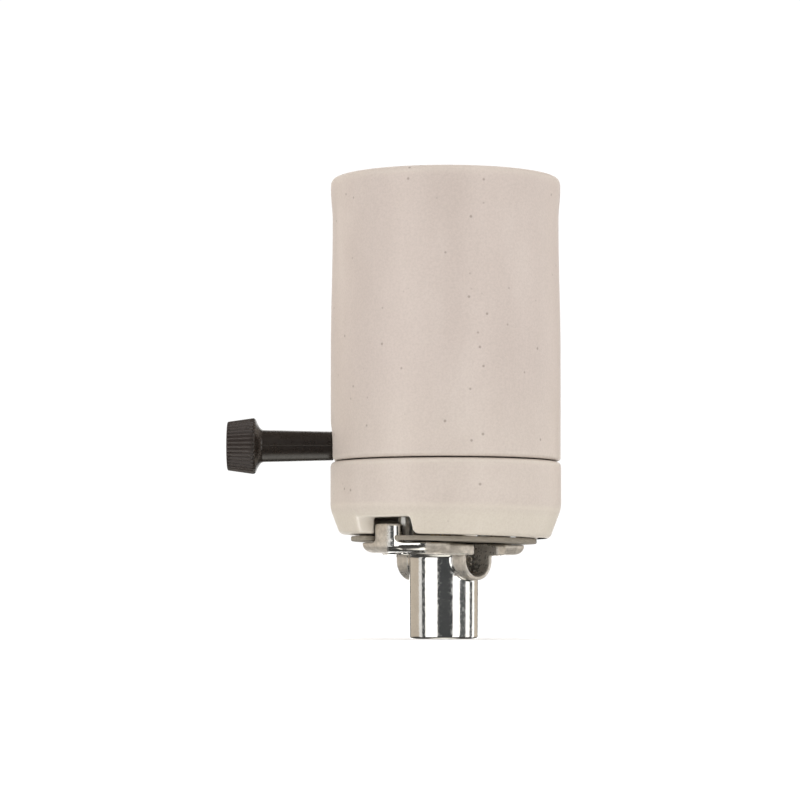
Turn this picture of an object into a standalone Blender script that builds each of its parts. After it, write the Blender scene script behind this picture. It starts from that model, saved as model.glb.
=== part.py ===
"""Porcelain mogul-base lampholder with a turn-knob switch and a threaded bottom bracket.

Metres, +Z up. The origin is the centre of the hub's bottom face. The knob points along -X.
Two joints: the switch turns about an X axis at SWITCH_Z, and the centre contact's leaf
bends about a Y axis at its clamped end.
"""

import math

import bmesh
import bpy
from mathutils import Matrix

MM = 0.001

# Gap between pieces that touch.
GAP = 0.3 * MM

# Clearance holes for the screws and the rivet.
ASSEMBLY_HOLE_RADIUS = 2.3 * MM
TERMINAL_HOLE_RADIUS = 1.9 * MM
SHELL_SCREW_HOLE_RADIUS = 1.8 * MM
RIVET_HOLE_RADIUS = 1.7 * MM
FRAME_HOLE_RADIUS = 1.6 * MM

# Bracket: hub, strap with two lugs, and the wire trough across it.
HUB_RADIUS = 8.5 * MM
HUB_TOP_RADIUS = 8.6 * MM
HUB_BORE_RADIUS = 6.2 * MM
BOSS_RADIUS = 14.6 * MM
BOSS_Z = 20.6 * MM
STRAP_BOTTOM = 21.2 * MM
STRAP_TOP = 23.5 * MM
STRAP_END_RADIUS = 20.8 * MM
STRAP_HALF_WIDTH = 11.5 * MM
LUG_INNER_RADIUS = 18.2 * MM
LUG_OUTER_RADIUS = 20.6 * MM
LUG_TOP = 28.0 * MM
LUG_HALF_ANGLE = math.radians(11.8)
TROUGH_HALF_WIDTH = 4.9 * MM
TROUGH_WALL = 0.9 * MM
TROUGH_HALF_LENGTH = 11.9 * MM
TROUGH_CENTRE_Z = 19.4 * MM

# Turned from +X towards -Y: the trough, and from -Y towards -X: the strap, lugs and notches.
TROUGH_ANGLE = math.radians(-45.0)
LUG_ANGLE = math.radians(-90.0 - 44.0)
STRAP_ANGLE = math.radians(-90.0 - 45.0)
NOTCH_ANGLE = math.radians(-90.0 - 35.2)

# Fibre disc.
DISC_RADIUS = 23.0 * MM
DISC_BOTTOM = STRAP_TOP + GAP
DISC_TOP = 25.0 * MM
DISC_HOLE_RADIUS = 7.0 * MM
EYELET_RADIUS = 1.2 * MM
EYELET_PITCH = 2.7 * MM
EYELET_Y = -18.4 * MM
EYELET_MID_X = -1.25 * MM
EYELET_BARREL_RADIUS = 0.75 * MM
EYELET_BORE_RADIUS = 0.4 * MM
LUG_GAP_NEAR = 17.7 * MM
LUG_GAP_HALF_WIDTH = 4.9 * MM

# Lower base.
BASE_BOTTOM = 25.6 * MM
BASE_FOOT_RADIUS = 26.2 * MM
BASE_RADIUS = 28.6 * MM
BASE_CHAMFER_Z = 32.45 * MM
BASE_TOP = 43.7 * MM
BASE_WEB_BOTTOM = 29.7 * MM
BASE_WEB_TOP = 37.0 * MM
BASE_RECESS_RADIUS = 20.5 * MM
NOTCH_HALF_WIDTH = 7.8 * MM
NOTCH_INNER_REACH = 16.5 * MM
CHAMBER_RADIUS = 21.5 * MM

# Upper body.
BODY_BOTTOM = BASE_TOP + GAP
BODY_TOP = 114.5 * MM
BODY_WEB_BOTTOM = 56.0 * MM
BODY_WEB_TOP = 64.0 * MM
SOCKET_RADIUS = 21.2 * MM
RIM_FLAT_RADIUS = 27.2 * MM
LIP_RADIUS = 28.6 * MM
LIP_Z = 112.0 * MM
WAIST_RADIUS = 28.15 * MM
WAIST_Z = 102.0 * MM
BARREL_RADIUS = 28.5 * MM
SPINDLE_NOTCH_RADIUS = 4.5 * MM
SINK_RADIUS = 4.2 * MM
SINK_FLOOR = 60.5 * MM

# Lamp shell, E39: 39.5 mm across its thread's grooves, 4 turns to the inch.
THREAD_PITCH = 6.35 * MM
SHELL_MEAN_RADIUS = 19.25 * MM
SHELL_THREAD_DEPTH = 0.65 * MM
SHELL_WALL = 0.7 * MM
SHELL_FLOOR = 65.1 * MM
SHELL_FLOOR_THICKNESS = 0.8 * MM
SHELL_HOLE_RADIUS = 9.3 * MM
SHELL_TOP = 106.0 * MM
SHELL_SCREW_X = 12.8 * MM

# Switch.
SWITCH_Z = 47.8 * MM
SPINDLE_RADIUS = 1.95 * MM
SPINDLE_TIP_RADIUS = 1.6 * MM
RUNNING_CLEARANCE = 0.1 * MM
ROTOR_RADIUS = 5.5 * MM
BLADE_TIP_RADIUS = 6.7 * MM
CONTACT_Y = 7.0 * MM
CONTACT_X = -0.3 * MM
TERMINAL_Y = 11.3 * MM
NEUTRAL_X = 13.4 * MM
STRIP = 0.8 * MM
DETENT_LOBES = 4
ASSEMBLY_SCREW_RADIUS = 14.0 * MM

# Knob.
KNOB_FACE_X = -54.2 * MM
KNOB_HEAD_LENGTH = 7.0 * MM
KNOB_HEAD_RADIUS = 6.1 * MM
KNOB_FLARE_RADIUS = 6.95 * MM
KNOB_NECK_LENGTH = 2.1 * MM
KNOB_STEM_RADIUS = 3.9 * MM
KNOB_STEM_END_RADIUS = 3.5 * MM
KNOB_STEM_END_X = -27.9 * MM
KNOB_BORE_RADIUS = 2.9 * MM
KNOB_BORE_DEPTH = 12.0 * MM
FLUTES = 36
FLUTE_DEPTH = 0.35 * MM

# Centre contact.
LEAF_HINGE_X = -4.7 * MM
LEAF_HINGE_Z = 64.7 * MM
LEAF_HALF_WIDTH = 3.2 * MM
LEAF_TOP_Z = 69.3 * MM
RIVET_X = -6.7 * MM
BUTTON_X = 1.8 * MM

# Name: base colour, roughness, metallic.
MATERIALS = {
    "porcelain": ((0.63, 0.55, 0.48), 0.72, 0.0),
    "phenolic": ((0.030, 0.024, 0.020), 0.38, 0.0),
    "zinc_casting": ((0.62, 0.60, 0.56), 0.18, 1.0),
    "vulcanised_fibre": ((0.20, 0.17, 0.13), 0.80, 0.0),
    "brass": ((0.62, 0.44, 0.20), 0.30, 1.0),
    "spring_bronze": ((0.60, 0.36, 0.20), 0.32, 1.0),
    "plated_steel": ((0.55, 0.55, 0.53), 0.30, 1.0),
    "mica": ((0.46, 0.40, 0.30), 0.45, 0.0),
}


def clear_scene():
    """Remove every object."""
    for obj in list(bpy.data.objects):
        bpy.data.objects.remove(obj, do_unlink=True)


def material(name):
    """The Principled material of this name, made once."""
    found = bpy.data.materials.get(name)
    if found:
        return found
    colour, roughness, metallic = MATERIALS[name]
    made = bpy.data.materials.new(name)
    made.use_nodes = True
    shader = made.node_tree.nodes["Principled BSDF"]
    shader.inputs["Base Color"].default_value = (*colour, 1.0)
    shader.inputs["Roughness"].default_value = roughness
    shader.inputs["Metallic"].default_value = metallic
    return made


def add_object(name, shape, material_name):
    """Put a bmesh in the scene as an object, smooth where it is round."""
    mesh = bpy.data.meshes.new(name)
    shape.to_mesh(mesh)
    shape.free()
    mesh.shade_smooth()
    mesh.set_sharp_from_angle(angle=math.radians(35.0))
    mesh.materials.append(material(material_name))
    obj = bpy.data.objects.new(name, mesh)
    bpy.context.collection.objects.link(obj)
    return obj


def add_guide(name, shape):
    """An operand of a Boolean, left out of the built part."""
    mesh = bpy.data.meshes.new(name)
    shape.to_mesh(mesh)
    shape.free()
    obj = bpy.data.objects.new(name, mesh)
    bpy.context.collection.objects.link(obj)
    obj.hide_render = True
    obj.display_type = "WIRE"
    return obj


def boolean(target, shape, operation):
    """Cut a shape from the target, or unite it with the target."""
    number = len(target.modifiers)
    guide = add_guide(f"{operation.lower()}_{target.name}_{number}", shape)
    modifier = target.modifiers.new(guide.name, "BOOLEAN")
    modifier.operation = operation
    modifier.object = guide


def cut(target, *shapes):
    for shape in shapes:
        boolean(target, shape, "DIFFERENCE")


def unite(target, *shapes):
    for shape in shapes:
        boolean(target, shape, "UNION")


def turned(profile, segments, ring=False, placement=None):
    """A solid of revolution about Z from (radius, height) points.

    A plain profile starts and ends on the axis. A ring's profile is a closed loop off the axis.
    """
    shape = bmesh.new()
    points = [shape.verts.new((radius, 0.0, height)) for radius, height in profile]
    edges = [shape.edges.new(pair) for pair in zip(points, points[1:])]
    if ring:
        edges.append(shape.edges.new((points[-1], points[0])))
    bmesh.ops.spin(
        shape,
        geom=points + edges,
        cent=(0.0, 0.0, 0.0),
        axis=(0.0, 0.0, 1.0),
        angle=math.tau,
        steps=segments,
        use_merge=True,
    )
    bmesh.ops.remove_doubles(shape, verts=shape.verts, dist=1e-7)
    bmesh.ops.recalc_face_normals(shape, faces=shape.faces)
    if placement is not None:
        bmesh.ops.transform(shape, matrix=placement, verts=shape.verts)
    return shape


def prism(outline, depth, placement=None):
    """A flat XY outline extruded along +Z by depth, then placed."""
    shape = bmesh.new()
    face = shape.faces.new([shape.verts.new((x, y, 0.0)) for x, y in outline])
    extruded = bmesh.ops.extrude_face_region(shape, geom=[face])
    moved = [item for item in extruded["geom"] if isinstance(item, bmesh.types.BMVert)]
    bmesh.ops.translate(shape, verts=moved, vec=(0.0, 0.0, depth))
    bmesh.ops.recalc_face_normals(shape, faces=shape.faces)
    if placement is not None:
        bmesh.ops.transform(shape, matrix=placement, verts=shape.verts)
    return shape


def plate(outline, bottom, top):
    """A horizontal plate of this outline."""
    return prism(outline, top - bottom, Matrix.Translation((0.0, 0.0, bottom)))


def box(low, high):
    """An upright box between two corners."""
    outline = [(low[0], low[1]), (high[0], low[1]), (high[0], high[1]), (low[0], high[1])]
    return plate(outline, low[2], high[2])


def cylinder(x, y, bottom, top, radius, segments=16):
    """An upright cylinder, turned a little so that its corners miss the edges it meets."""
    profile = [(0.0, bottom), (radius, bottom), (radius, top), (0.0, top)]
    turn = Matrix.Translation((x, y, 0.0)) @ Matrix.Rotation(0.13, 4, "Z")
    return turned(profile, segments, placement=turn)


def side_strip(outline_xz, half_width, y=0.0):
    """A bent strip: its XZ outline extruded along Y, centred on y."""
    upright = Matrix.Translation((0.0, y + half_width, 0.0)) @ Matrix.Rotation(math.pi / 2, 4, "X")
    return prism(outline_xz, 2 * half_width, upright)


def end_strip(outline_yz, x_low, x_high):
    """A bent strip: its YZ outline extruded along X."""
    turn = Matrix(((0, 0, 1, x_low), (1, 0, 0, 0), (0, 1, 0, 0), (0, 0, 0, 1)))
    return prism(outline_yz, x_high - x_low, turn)


def arc(radius, start, end, steps, centre=(0.0, 0.0)):
    """Points on an arc, both ends included."""
    angles = [start + (end - start) * step / steps for step in range(steps + 1)]
    return [(centre[0] + radius * math.cos(a), centre[1] + radius * math.sin(a)) for a in angles]


def along_x(x=0.0, z=0.0):
    """Lay a shape that was made along Z on the X axis."""
    return Matrix.Translation((x, 0.0, z)) @ Matrix.Rotation(math.pi / 2, 4, "Y")


def half_turn(angle):
    """This direction and the opposite one."""
    return (angle, angle + math.pi)


def polar(radius, angle):
    return radius * math.cos(angle), radius * math.sin(angle)


def bevel_where(shape, chosen, width, segments):
    """Bevel the edges for which chosen is true."""
    edges = [edge for edge in shape.edges if chosen(edge)]
    bmesh.ops.bevel(shape, geom=edges, offset=width, segments=segments, profile=0.5, affect="EDGES")
    return shape


# ---------------------------------------------------------------- bracket


def strap_outline():
    """The strap seen from above: round ends at STRAP_END_RADIUS, flat sides."""
    half_angle = math.asin(STRAP_HALF_WIDTH / STRAP_END_RADIUS)
    outline = []
    for middle in half_turn(STRAP_ANGLE):
        outline += arc(STRAP_END_RADIUS, middle - half_angle, middle + half_angle, 10)
    return outline


def strap_shape():
    """The strap, with its lower edges rounded."""
    shape = plate(strap_outline(), STRAP_BOTTOM, STRAP_TOP)
    lowest = STRAP_BOTTOM + 0.1 * MM
    return bevel_where(shape, lambda edge: all(v.co.z < lowest for v in edge.verts), 0.8 * MM, 2)


def lug_shape(middle):
    """An upturned lug: a short stretch of ring."""
    outer = arc(LUG_OUTER_RADIUS, middle - LUG_HALF_ANGLE, middle + LUG_HALF_ANGLE, 4)
    inner = arc(LUG_INNER_RADIUS, middle + LUG_HALF_ANGLE, middle - LUG_HALF_ANGLE, 2)
    shape = plate(outer + inner, STRAP_TOP - 1.0 * MM, LUG_TOP)
    highest = LUG_TOP - 0.1 * MM
    return bevel_where(shape, lambda edge: all(v.co.z > highest for v in edge.verts), 0.5 * MM, 2)


def trough_shape(half_width, half_length, top):
    """A U-shaped bar along the trough's direction, round below."""
    outline = [(half_width, top)]
    outline += arc(half_width, 0.0, -math.pi, 12, centre=(0.0, TROUGH_CENTRE_Z))
    outline.append((-half_width, top))
    lay = Matrix.Rotation(TROUGH_ANGLE, 4, "Z") @ Matrix(
        ((0, 0, 1, -half_length), (1, 0, 0, 0), (0, 1, 0, 0), (0, 0, 0, 1))
    )
    return prism(outline, 2 * half_length, lay)


def assembly_screw_places():
    return [polar(ASSEMBLY_SCREW_RADIUS, angle) for angle in half_turn(STRAP_ANGLE)]


def bottom_bracket():
    """Die-cast bracket: hub, boss, strap, trough and two lugs in one piece."""
    hub = [
        (0.0, 0.0),
        (HUB_RADIUS - 0.4 * MM, 0.0),
        (HUB_RADIUS, 0.4 * MM),
        (HUB_TOP_RADIUS, BOSS_Z - 2.0 * MM),
        (HUB_TOP_RADIUS + 0.6 * MM, BOSS_Z - 0.6 * MM),
        (HUB_TOP_RADIUS + 2.0 * MM, BOSS_Z),
        (BOSS_RADIUS - 0.4 * MM, BOSS_Z),
        (BOSS_RADIUS, BOSS_Z + 0.4 * MM),
        (BOSS_RADIUS, STRAP_TOP - 0.7 * MM),
        (0.0, STRAP_TOP - 0.7 * MM),
    ]
    bracket = add_object("bottom_bracket", turned(hub, 40), "zinc_casting")
    unite(bracket, strap_shape())
    unite(bracket, trough_shape(TROUGH_HALF_WIDTH, TROUGH_HALF_LENGTH, STRAP_TOP - 0.3 * MM))
    unite(bracket, *[lug_shape(angle) for angle in half_turn(LUG_ANGLE)])
    channel = TROUGH_HALF_WIDTH - TROUGH_WALL
    cut(bracket, trough_shape(channel, TROUGH_HALF_LENGTH + 10 * MM, STRAP_TOP + 10 * MM))
    cut(bracket, cylinder(0.0, 0.0, -1 * MM, 30 * MM, HUB_BORE_RADIUS, 32))
    for x, y in assembly_screw_places():
        cut(bracket, cylinder(x, y, 15 * MM, 30 * MM, ASSEMBLY_HOLE_RADIUS))


# ---------------------------------------------------------------- disc and porcelain


def radial_block(angle, near, far, half_width, bottom, top):
    """A block that points outwards along an angle."""
    outline = [(near, -half_width), (far, -half_width), (far, half_width), (near, half_width)]
    turn = Matrix.Translation((0.0, 0.0, bottom)) @ Matrix.Rotation(angle, 4, "Z")
    return prism(outline, top - bottom, turn)


def eyelet_places():
    return [(EYELET_MID_X - EYELET_PITCH / 2, EYELET_Y), (EYELET_MID_X + EYELET_PITCH / 2, EYELET_Y)]


def fibre_disc():
    """Insulating disc with a wire hole, screw holes, eyelet holes and gaps for the lugs."""
    profile = [(0.0, DISC_BOTTOM), (DISC_RADIUS, DISC_BOTTOM), (DISC_RADIUS, DISC_TOP), (0.0, DISC_TOP)]
    disc = add_object("fibre_disc", turned(profile, 44), "vulcanised_fibre")
    low = DISC_BOTTOM - 2 * MM
    high = DISC_TOP + 2 * MM
    cut(disc, cylinder(0.0, 0.0, low, high, DISC_HOLE_RADIUS, 28))
    for angle in half_turn(LUG_ANGLE):
        cut(disc, radial_block(angle, LUG_GAP_NEAR, 26 * MM, LUG_GAP_HALF_WIDTH, low, high))
    for x, y in assembly_screw_places():
        cut(disc, cylinder(x, y, low, high, ASSEMBLY_HOLE_RADIUS))
    for x, y in eyelet_places():
        cut(disc, cylinder(x, y, low, high, EYELET_BARREL_RADIUS + 0.2 * MM, 12))


def eyelets():
    """Two brass eyelets in the front of the disc."""
    bottom = DISC_BOTTOM + 0.1 * MM
    flange = DISC_TOP + 0.08 * MM
    top = flange + 0.25 * MM
    profile = [
        (EYELET_BORE_RADIUS, bottom),
        (EYELET_BARREL_RADIUS, bottom),
        (EYELET_BARREL_RADIUS, flange),
        (EYELET_RADIUS, flange),
        (EYELET_RADIUS, top),
        (EYELET_BORE_RADIUS, top),
    ]
    for name, (x, y) in zip(("disc_eyelet_left", "disc_eyelet_right"), eyelet_places()):
        place = Matrix.Translation((x, y, 0.0))
        add_object(name, turned(profile, 16, ring=True, placement=place), "brass")


def base_web_holes():
    """Places of the screws that pass through the lower base's web."""
    return [(CONTACT_X, TERMINAL_Y), (CONTACT_X, -TERMINAL_Y), (NEUTRAL_X, 0.0)]


def frame_screw_places():
    return [(-13.0 * MM, 0.0), (4.5 * MM, 0.0)]


def lower_base():
    """Porcelain base: terminal recess below, switch chamber above, a web between them."""
    edge = 0.8 * MM
    profile = [
        (0.0, BASE_WEB_BOTTOM),
        (BASE_RECESS_RADIUS, BASE_WEB_BOTTOM),
        (BASE_RECESS_RADIUS, BASE_BOTTOM),
        (BASE_FOOT_RADIUS - edge, BASE_BOTTOM),
        (BASE_FOOT_RADIUS, BASE_BOTTOM + edge),
        (BASE_RADIUS, BASE_CHAMFER_Z),
        (BASE_RADIUS, BASE_TOP - edge),
        (BASE_RADIUS - edge, BASE_TOP),
        (CHAMBER_RADIUS, BASE_TOP),
        (CHAMBER_RADIUS, BASE_WEB_TOP),
        (0.0, BASE_WEB_TOP),
    ]
    base = add_object("lower_base", turned(profile, 48), "porcelain")
    for angle in half_turn(NOTCH_ANGLE):
        low = BASE_BOTTOM - 3 * MM
        cut(base, radial_block(angle, NOTCH_INNER_REACH, 35 * MM, NOTCH_HALF_WIDTH, low, BASE_WEB_BOTTOM))
    for x, y in base_web_holes():
        cut(base, cylinder(x, y, 20 * MM, 42 * MM, TERMINAL_HOLE_RADIUS, 12))
    for x, y in assembly_screw_places():
        cut(base, cylinder(x, y, 20 * MM, 42 * MM, ASSEMBLY_HOLE_RADIUS))
    for x, y in frame_screw_places():
        cut(base, cylinder(x, y, 32 * MM, 42 * MM, FRAME_HOLE_RADIUS, 12))


def lip_arc():
    """The rounded shoulder from the lip to the rim."""
    width = LIP_RADIUS - RIM_FLAT_RADIUS
    height = BODY_TOP - LIP_Z
    steps = 3
    angles = [math.pi / 2 * step / steps for step in range(1, steps + 1)]
    return [(RIM_FLAT_RADIUS + width * math.cos(a), LIP_Z + height * math.sin(a)) for a in angles]


def upper_body():
    """Porcelain barrel: lamp socket above, switch chamber below, spindle notch at -X."""
    edge = 0.6 * MM
    profile = [
        (0.0, BODY_WEB_BOTTOM),
        (CHAMBER_RADIUS, BODY_WEB_BOTTOM),
        (CHAMBER_RADIUS, BODY_BOTTOM),
        (BARREL_RADIUS - edge, BODY_BOTTOM),
        (BARREL_RADIUS, BODY_BOTTOM + edge),
        (BARREL_RADIUS + 0.05 * MM, 62.0 * MM),
        (BARREL_RADIUS, 78.0 * MM),
        (BARREL_RADIUS - 0.2 * MM, 92.0 * MM),
        (WAIST_RADIUS, WAIST_Z),
        (BARREL_RADIUS - 0.2 * MM, 107.5 * MM),
        (LIP_RADIUS, LIP_Z - 1.2 * MM),
        (LIP_RADIUS, LIP_Z),
        *lip_arc(),
        (SOCKET_RADIUS + 1.0 * MM, BODY_TOP),
        (SOCKET_RADIUS, BODY_TOP - 1.0 * MM),
        (SOCKET_RADIUS, BODY_WEB_TOP),
        (0.0, BODY_WEB_TOP),
    ]
    body = add_object("upper_body", turned(profile, 48), "porcelain")
    notch = arc(SPINDLE_NOTCH_RADIUS, 0.0, math.pi, 9, centre=(0.0, SWITCH_Z))
    notch += [(-SPINDLE_NOTCH_RADIUS, 40 * MM), (SPINDLE_NOTCH_RADIUS, 40 * MM)]
    cut(body, end_strip(notch, -32 * MM, -18 * MM))
    for x, y in assembly_screw_places():
        cut(body, cylinder(x, y, 50 * MM, 70 * MM, ASSEMBLY_HOLE_RADIUS))
        cut(body, cylinder(x, y, SINK_FLOOR, 70 * MM, SINK_RADIUS))
    for x in (-SHELL_SCREW_X, SHELL_SCREW_X):
        cut(body, cylinder(x, 0.0, 50 * MM, 70 * MM, SHELL_SCREW_HOLE_RADIUS, 12))
    cut(body, cylinder(RIVET_X, 0.0, 50 * MM, 70 * MM, RIVET_HOLE_RADIUS, 12))


# ---------------------------------------------------------------- lamp shell and centre contact


def screw_shell():
    """Thin threaded shell. Each row of points follows the thread's wave one step further up."""
    around = 24
    rows = 22
    floor_top = SHELL_FLOOR + SHELL_FLOOR_THICKNESS
    shape = bmesh.new()

    def ring(radius_at, height):
        points = []
        for step in range(around):
            angle = math.tau * (step + 0.5) / around
            radius = radius_at(angle, height)
            points.append(shape.verts.new((*polar(radius, angle), height)))
        return points

    def thread(offset):
        def radius_at(angle, height):
            rise = (height - floor_top) / (1.5 * MM)
            fall = (SHELL_TOP - height) / (2 * MM)
            fade = min(1.0, rise, fall)
            wave = math.cos(math.tau * height / THREAD_PITCH - angle)
            return SHELL_MEAN_RADIUS + offset + SHELL_THREAD_DEPTH * fade * wave
        return radius_at

    def flat(radius):
        return lambda angle, height: radius

    heights = [floor_top + (SHELL_TOP - floor_top) * row / rows for row in range(rows + 1)]
    loops = [ring(flat(SHELL_HOLE_RADIUS), SHELL_FLOOR)]
    loops.append(ring(flat(SHELL_MEAN_RADIUS - 0.2 * MM), SHELL_FLOOR))
    loops += [ring(thread(SHELL_WALL), height) for height in heights]
    loops += [ring(thread(0.0), height) for height in reversed(heights)]
    loops.append(ring(flat(SHELL_HOLE_RADIUS), floor_top))
    for lower, upper in zip(loops, loops[1:] + loops[:1]):
        for step in range(around):
            after = (step + 1) % around
            shape.faces.new((lower[step], lower[after], upper[after], upper[step]))
    bmesh.ops.recalc_face_normals(shape, faces=shape.faces)
    shell = add_object("screw_shell", shape, "brass")
    for x in (-SHELL_SCREW_X, SHELL_SCREW_X):
        cut(shell, cylinder(x, 0.0, 64 * MM, 67 * MM, SHELL_SCREW_HOLE_RADIUS, 12))


def shell_insulator():
    """Mica washer between the shell's floor and the porcelain."""
    bottom = BODY_WEB_TOP + GAP
    top = bottom + 0.5 * MM
    profile = [(10 * MM, bottom), (20.5 * MM, bottom), (20.5 * MM, top), (10 * MM, top)]
    washer = add_object("shell_insulator", turned(profile, 28, ring=True), "mica")
    for x in (-SHELL_SCREW_X, SHELL_SCREW_X):
        cut(washer, cylinder(x, 0.0, 60 * MM, 70 * MM, SHELL_SCREW_HOLE_RADIUS, 12))


def slotted_screw(name, x, y, head_at, tip_at, head_radius, shank_radius, head_height):
    """A slotted pan-head screw. head_at is the head's seat, and tip_at is the shank's end."""
    place = Matrix.Translation((x, y, 0.0))
    up = 1.0 if head_at > tip_at else -1.0
    crown = head_at + up * head_height
    shoulder = crown - up * 0.5 * MM
    profile = [
        (0.0, tip_at),
        (shank_radius - 0.3 * MM, tip_at),
        (shank_radius, tip_at + up * 0.3 * MM),
        (shank_radius, head_at),
        (head_radius, head_at),
        (head_radius, shoulder),
        (head_radius - 0.6 * MM, crown),
        (0.0, crown),
    ]
    screw = add_object(name, turned(profile, 12, placement=place), "plated_steel")
    slot_floor = crown - up * head_height * 0.5
    low, high = sorted((slot_floor, crown + up * 1 * MM))
    reach = head_radius + 1 * MM
    cut(screw, box((x - reach, y - 0.5 * MM, low), (x + reach, y + 0.5 * MM, high)))


def shell_fixings():
    """Two screws clamp the shell: one into the neutral strap, one into a nut plate."""
    seat = SHELL_FLOOR + SHELL_FLOOR_THICKNESS + GAP
    for name, x in (("shell_screw_left", -SHELL_SCREW_X), ("shell_screw_right", SHELL_SCREW_X)):
        slotted_screw(name, x, 0.0, seat, 54.4 * MM, 2.9 * MM, 1.5 * MM, 1.9 * MM)
    top = BODY_WEB_BOTTOM - GAP
    nut = box((-15.6 * MM, -3 * MM, top - 1.1 * MM), (-10.1 * MM, 3 * MM, top))
    plate_nut = add_object("shell_nut_plate", nut, "brass")
    cut(plate_nut, cylinder(-SHELL_SCREW_X, 0.0, 50 * MM, 60 * MM, SHELL_SCREW_HOLE_RADIUS, 12))


def neutral_strap():
    """C-shaped brass strap from the neutral terminal up to the shell's right screw."""
    near = 10.2 * MM
    far = 17.0 * MM
    foot = BASE_WEB_TOP + GAP
    top = BODY_WEB_BOTTOM - GAP
    outline = [
        (near, foot),
        (far, foot),
        (far, top),
        (near, top),
        (near, top - STRIP),
        (far - STRIP, top - STRIP),
        (far - STRIP, foot + STRIP),
        (near, foot + STRIP),
    ]
    strap = add_object("neutral_strap", side_strip(outline, 3 * MM), "brass")
    cut(strap, cylinder(NEUTRAL_X, 0.0, 30 * MM, 45 * MM, TERMINAL_HOLE_RADIUS, 12))
    cut(strap, cylinder(SHELL_SCREW_X, 0.0, 50 * MM, 60 * MM, SHELL_SCREW_HOLE_RADIUS, 12))


def centre_contact():
    """Bronze strip in two pieces either side of its bend, with its rivet and its button."""
    low = LEAF_HINGE_Z - STRIP / 2
    high = LEAF_HINGE_Z + STRIP / 2
    tail = box((-9.0 * MM, -LEAF_HALF_WIDTH, low), (LEAF_HINGE_X - 0.2 * MM, LEAF_HALF_WIDTH, high))
    tail_object = add_object("contact_leaf_tail", tail, "spring_bronze")
    cut(tail_object, cylinder(RIVET_X, 0.0, 60 * MM, 70 * MM, RIVET_HOLE_RADIUS, 12))

    start = LEAF_HINGE_X + 0.1 * MM
    knee = -0.8 * MM
    end = 4.8 * MM
    half = STRIP / 2
    outline = [
        (start, low),
        (start + 0.5 * MM, low),
        (knee + 0.3 * MM, LEAF_TOP_Z - half),
        (end, LEAF_TOP_Z - half),
        (end, LEAF_TOP_Z + half),
        (knee - 0.3 * MM, LEAF_TOP_Z + half),
        (start, high),
    ]
    leaf = add_object("contact_leaf", side_strip(outline, LEAF_HALF_WIDTH), "spring_bronze")

    seat = LEAF_TOP_Z + half + 0.1 * MM
    dome = [
        (0.0, seat),
        (2.7 * MM, seat),
        (2.7 * MM, seat + 0.5 * MM),
        (2.1 * MM, seat + 1.1 * MM),
        (1.1 * MM, seat + 1.4 * MM),
        (0.0, seat + 1.5 * MM),
    ]
    place = Matrix.Translation((BUTTON_X, 0.0, 0.0))
    button = add_object("contact_button", turned(dome, 20, placement=place), "brass")

    rivet_foot = 53.9 * MM
    rivet_seat = BODY_WEB_BOTTOM - GAP - STRIP - 0.2 * MM
    rivet_profile = [
        (0.0, rivet_foot),
        (2.1 * MM, rivet_foot),
        (2.1 * MM, rivet_seat),
        (1.4 * MM, rivet_seat),
        (1.4 * MM, high + 0.2 * MM),
        (2.3 * MM, high + 0.2 * MM),
        (1.9 * MM, high + 1.1 * MM),
        (0.0, high + 1.3 * MM),
    ]
    place = Matrix.Translation((RIVET_X, 0.0, 0.0))
    add_object("contact_rivet", turned(rivet_profile, 16, placement=place), "brass")
    return [leaf, button]


# ---------------------------------------------------------------- switch


def knob_profile():
    """(x, radius, is fluted) down the outside of the knob from its face."""
    head_end = KNOB_FACE_X + KNOB_HEAD_LENGTH
    neck_end = head_end + KNOB_NECK_LENGTH
    return [
        (KNOB_FACE_X, KNOB_HEAD_RADIUS - 1.3 * MM, False),
        (KNOB_FACE_X + 0.25 * MM, KNOB_HEAD_RADIUS - 0.5 * MM, True),
        (KNOB_FACE_X + 0.9 * MM, KNOB_HEAD_RADIUS, True),
        (head_end - 0.7 * MM, KNOB_FLARE_RADIUS, True),
        (head_end, KNOB_FLARE_RADIUS - 0.6 * MM, False),
        (head_end + KNOB_NECK_LENGTH * 0.35, KNOB_STEM_RADIUS + 1.0 * MM, False),
        (neck_end, KNOB_STEM_RADIUS, False),
        (KNOB_STEM_END_X - 0.3 * MM, KNOB_STEM_END_RADIUS, False),
        (KNOB_STEM_END_X, KNOB_STEM_END_RADIUS - 0.3 * MM, False),
    ]


def knob():
    """Fluted phenolic knob with a long stem and a blind bore for its insert."""
    around = 2 * FLUTES
    shape = bmesh.new()
    loops = []
    for x, radius, fluted in knob_profile():
        loop = []
        for step in range(around):
            depth = FLUTE_DEPTH if fluted and step % 2 else 0.0
            y, z = polar(radius - depth, math.tau * step / around)
            loop.append(shape.verts.new((x, y, SWITCH_Z + z)))
        loops.append(loop)
    for left, right in zip(loops, loops[1:]):
        for step in range(around):
            after = (step + 1) % around
            shape.faces.new((left[step], left[after], right[after], right[step]))
    shape.faces.new(loops[0])
    shape.faces.new(loops[-1])
    bmesh.ops.recalc_face_normals(shape, faces=shape.faces)
    body = add_object("knob", shape, "phenolic")
    reach = KNOB_BORE_DEPTH + 5 * MM
    profile = [(0.0, 0.0), (KNOB_BORE_RADIUS, 0.0), (KNOB_BORE_RADIUS, reach), (0.0, reach)]
    bore_start = KNOB_STEM_END_X - KNOB_BORE_DEPTH
    cut(body, turned(profile, 24, placement=along_x(bore_start, SWITCH_Z)))
    return body


def shaft_ring(name, outline_radius, x_low, x_high, bore, material_name, segments=24):
    """A turned ring on the switch's axis."""
    profile = [(bore, x_low), (outline_radius, x_low), (outline_radius, x_high), (bore, x_high)]
    shape = turned(profile, segments, ring=True, placement=along_x(0.0, SWITCH_Z))
    return add_object(name, shape, material_name)


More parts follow.
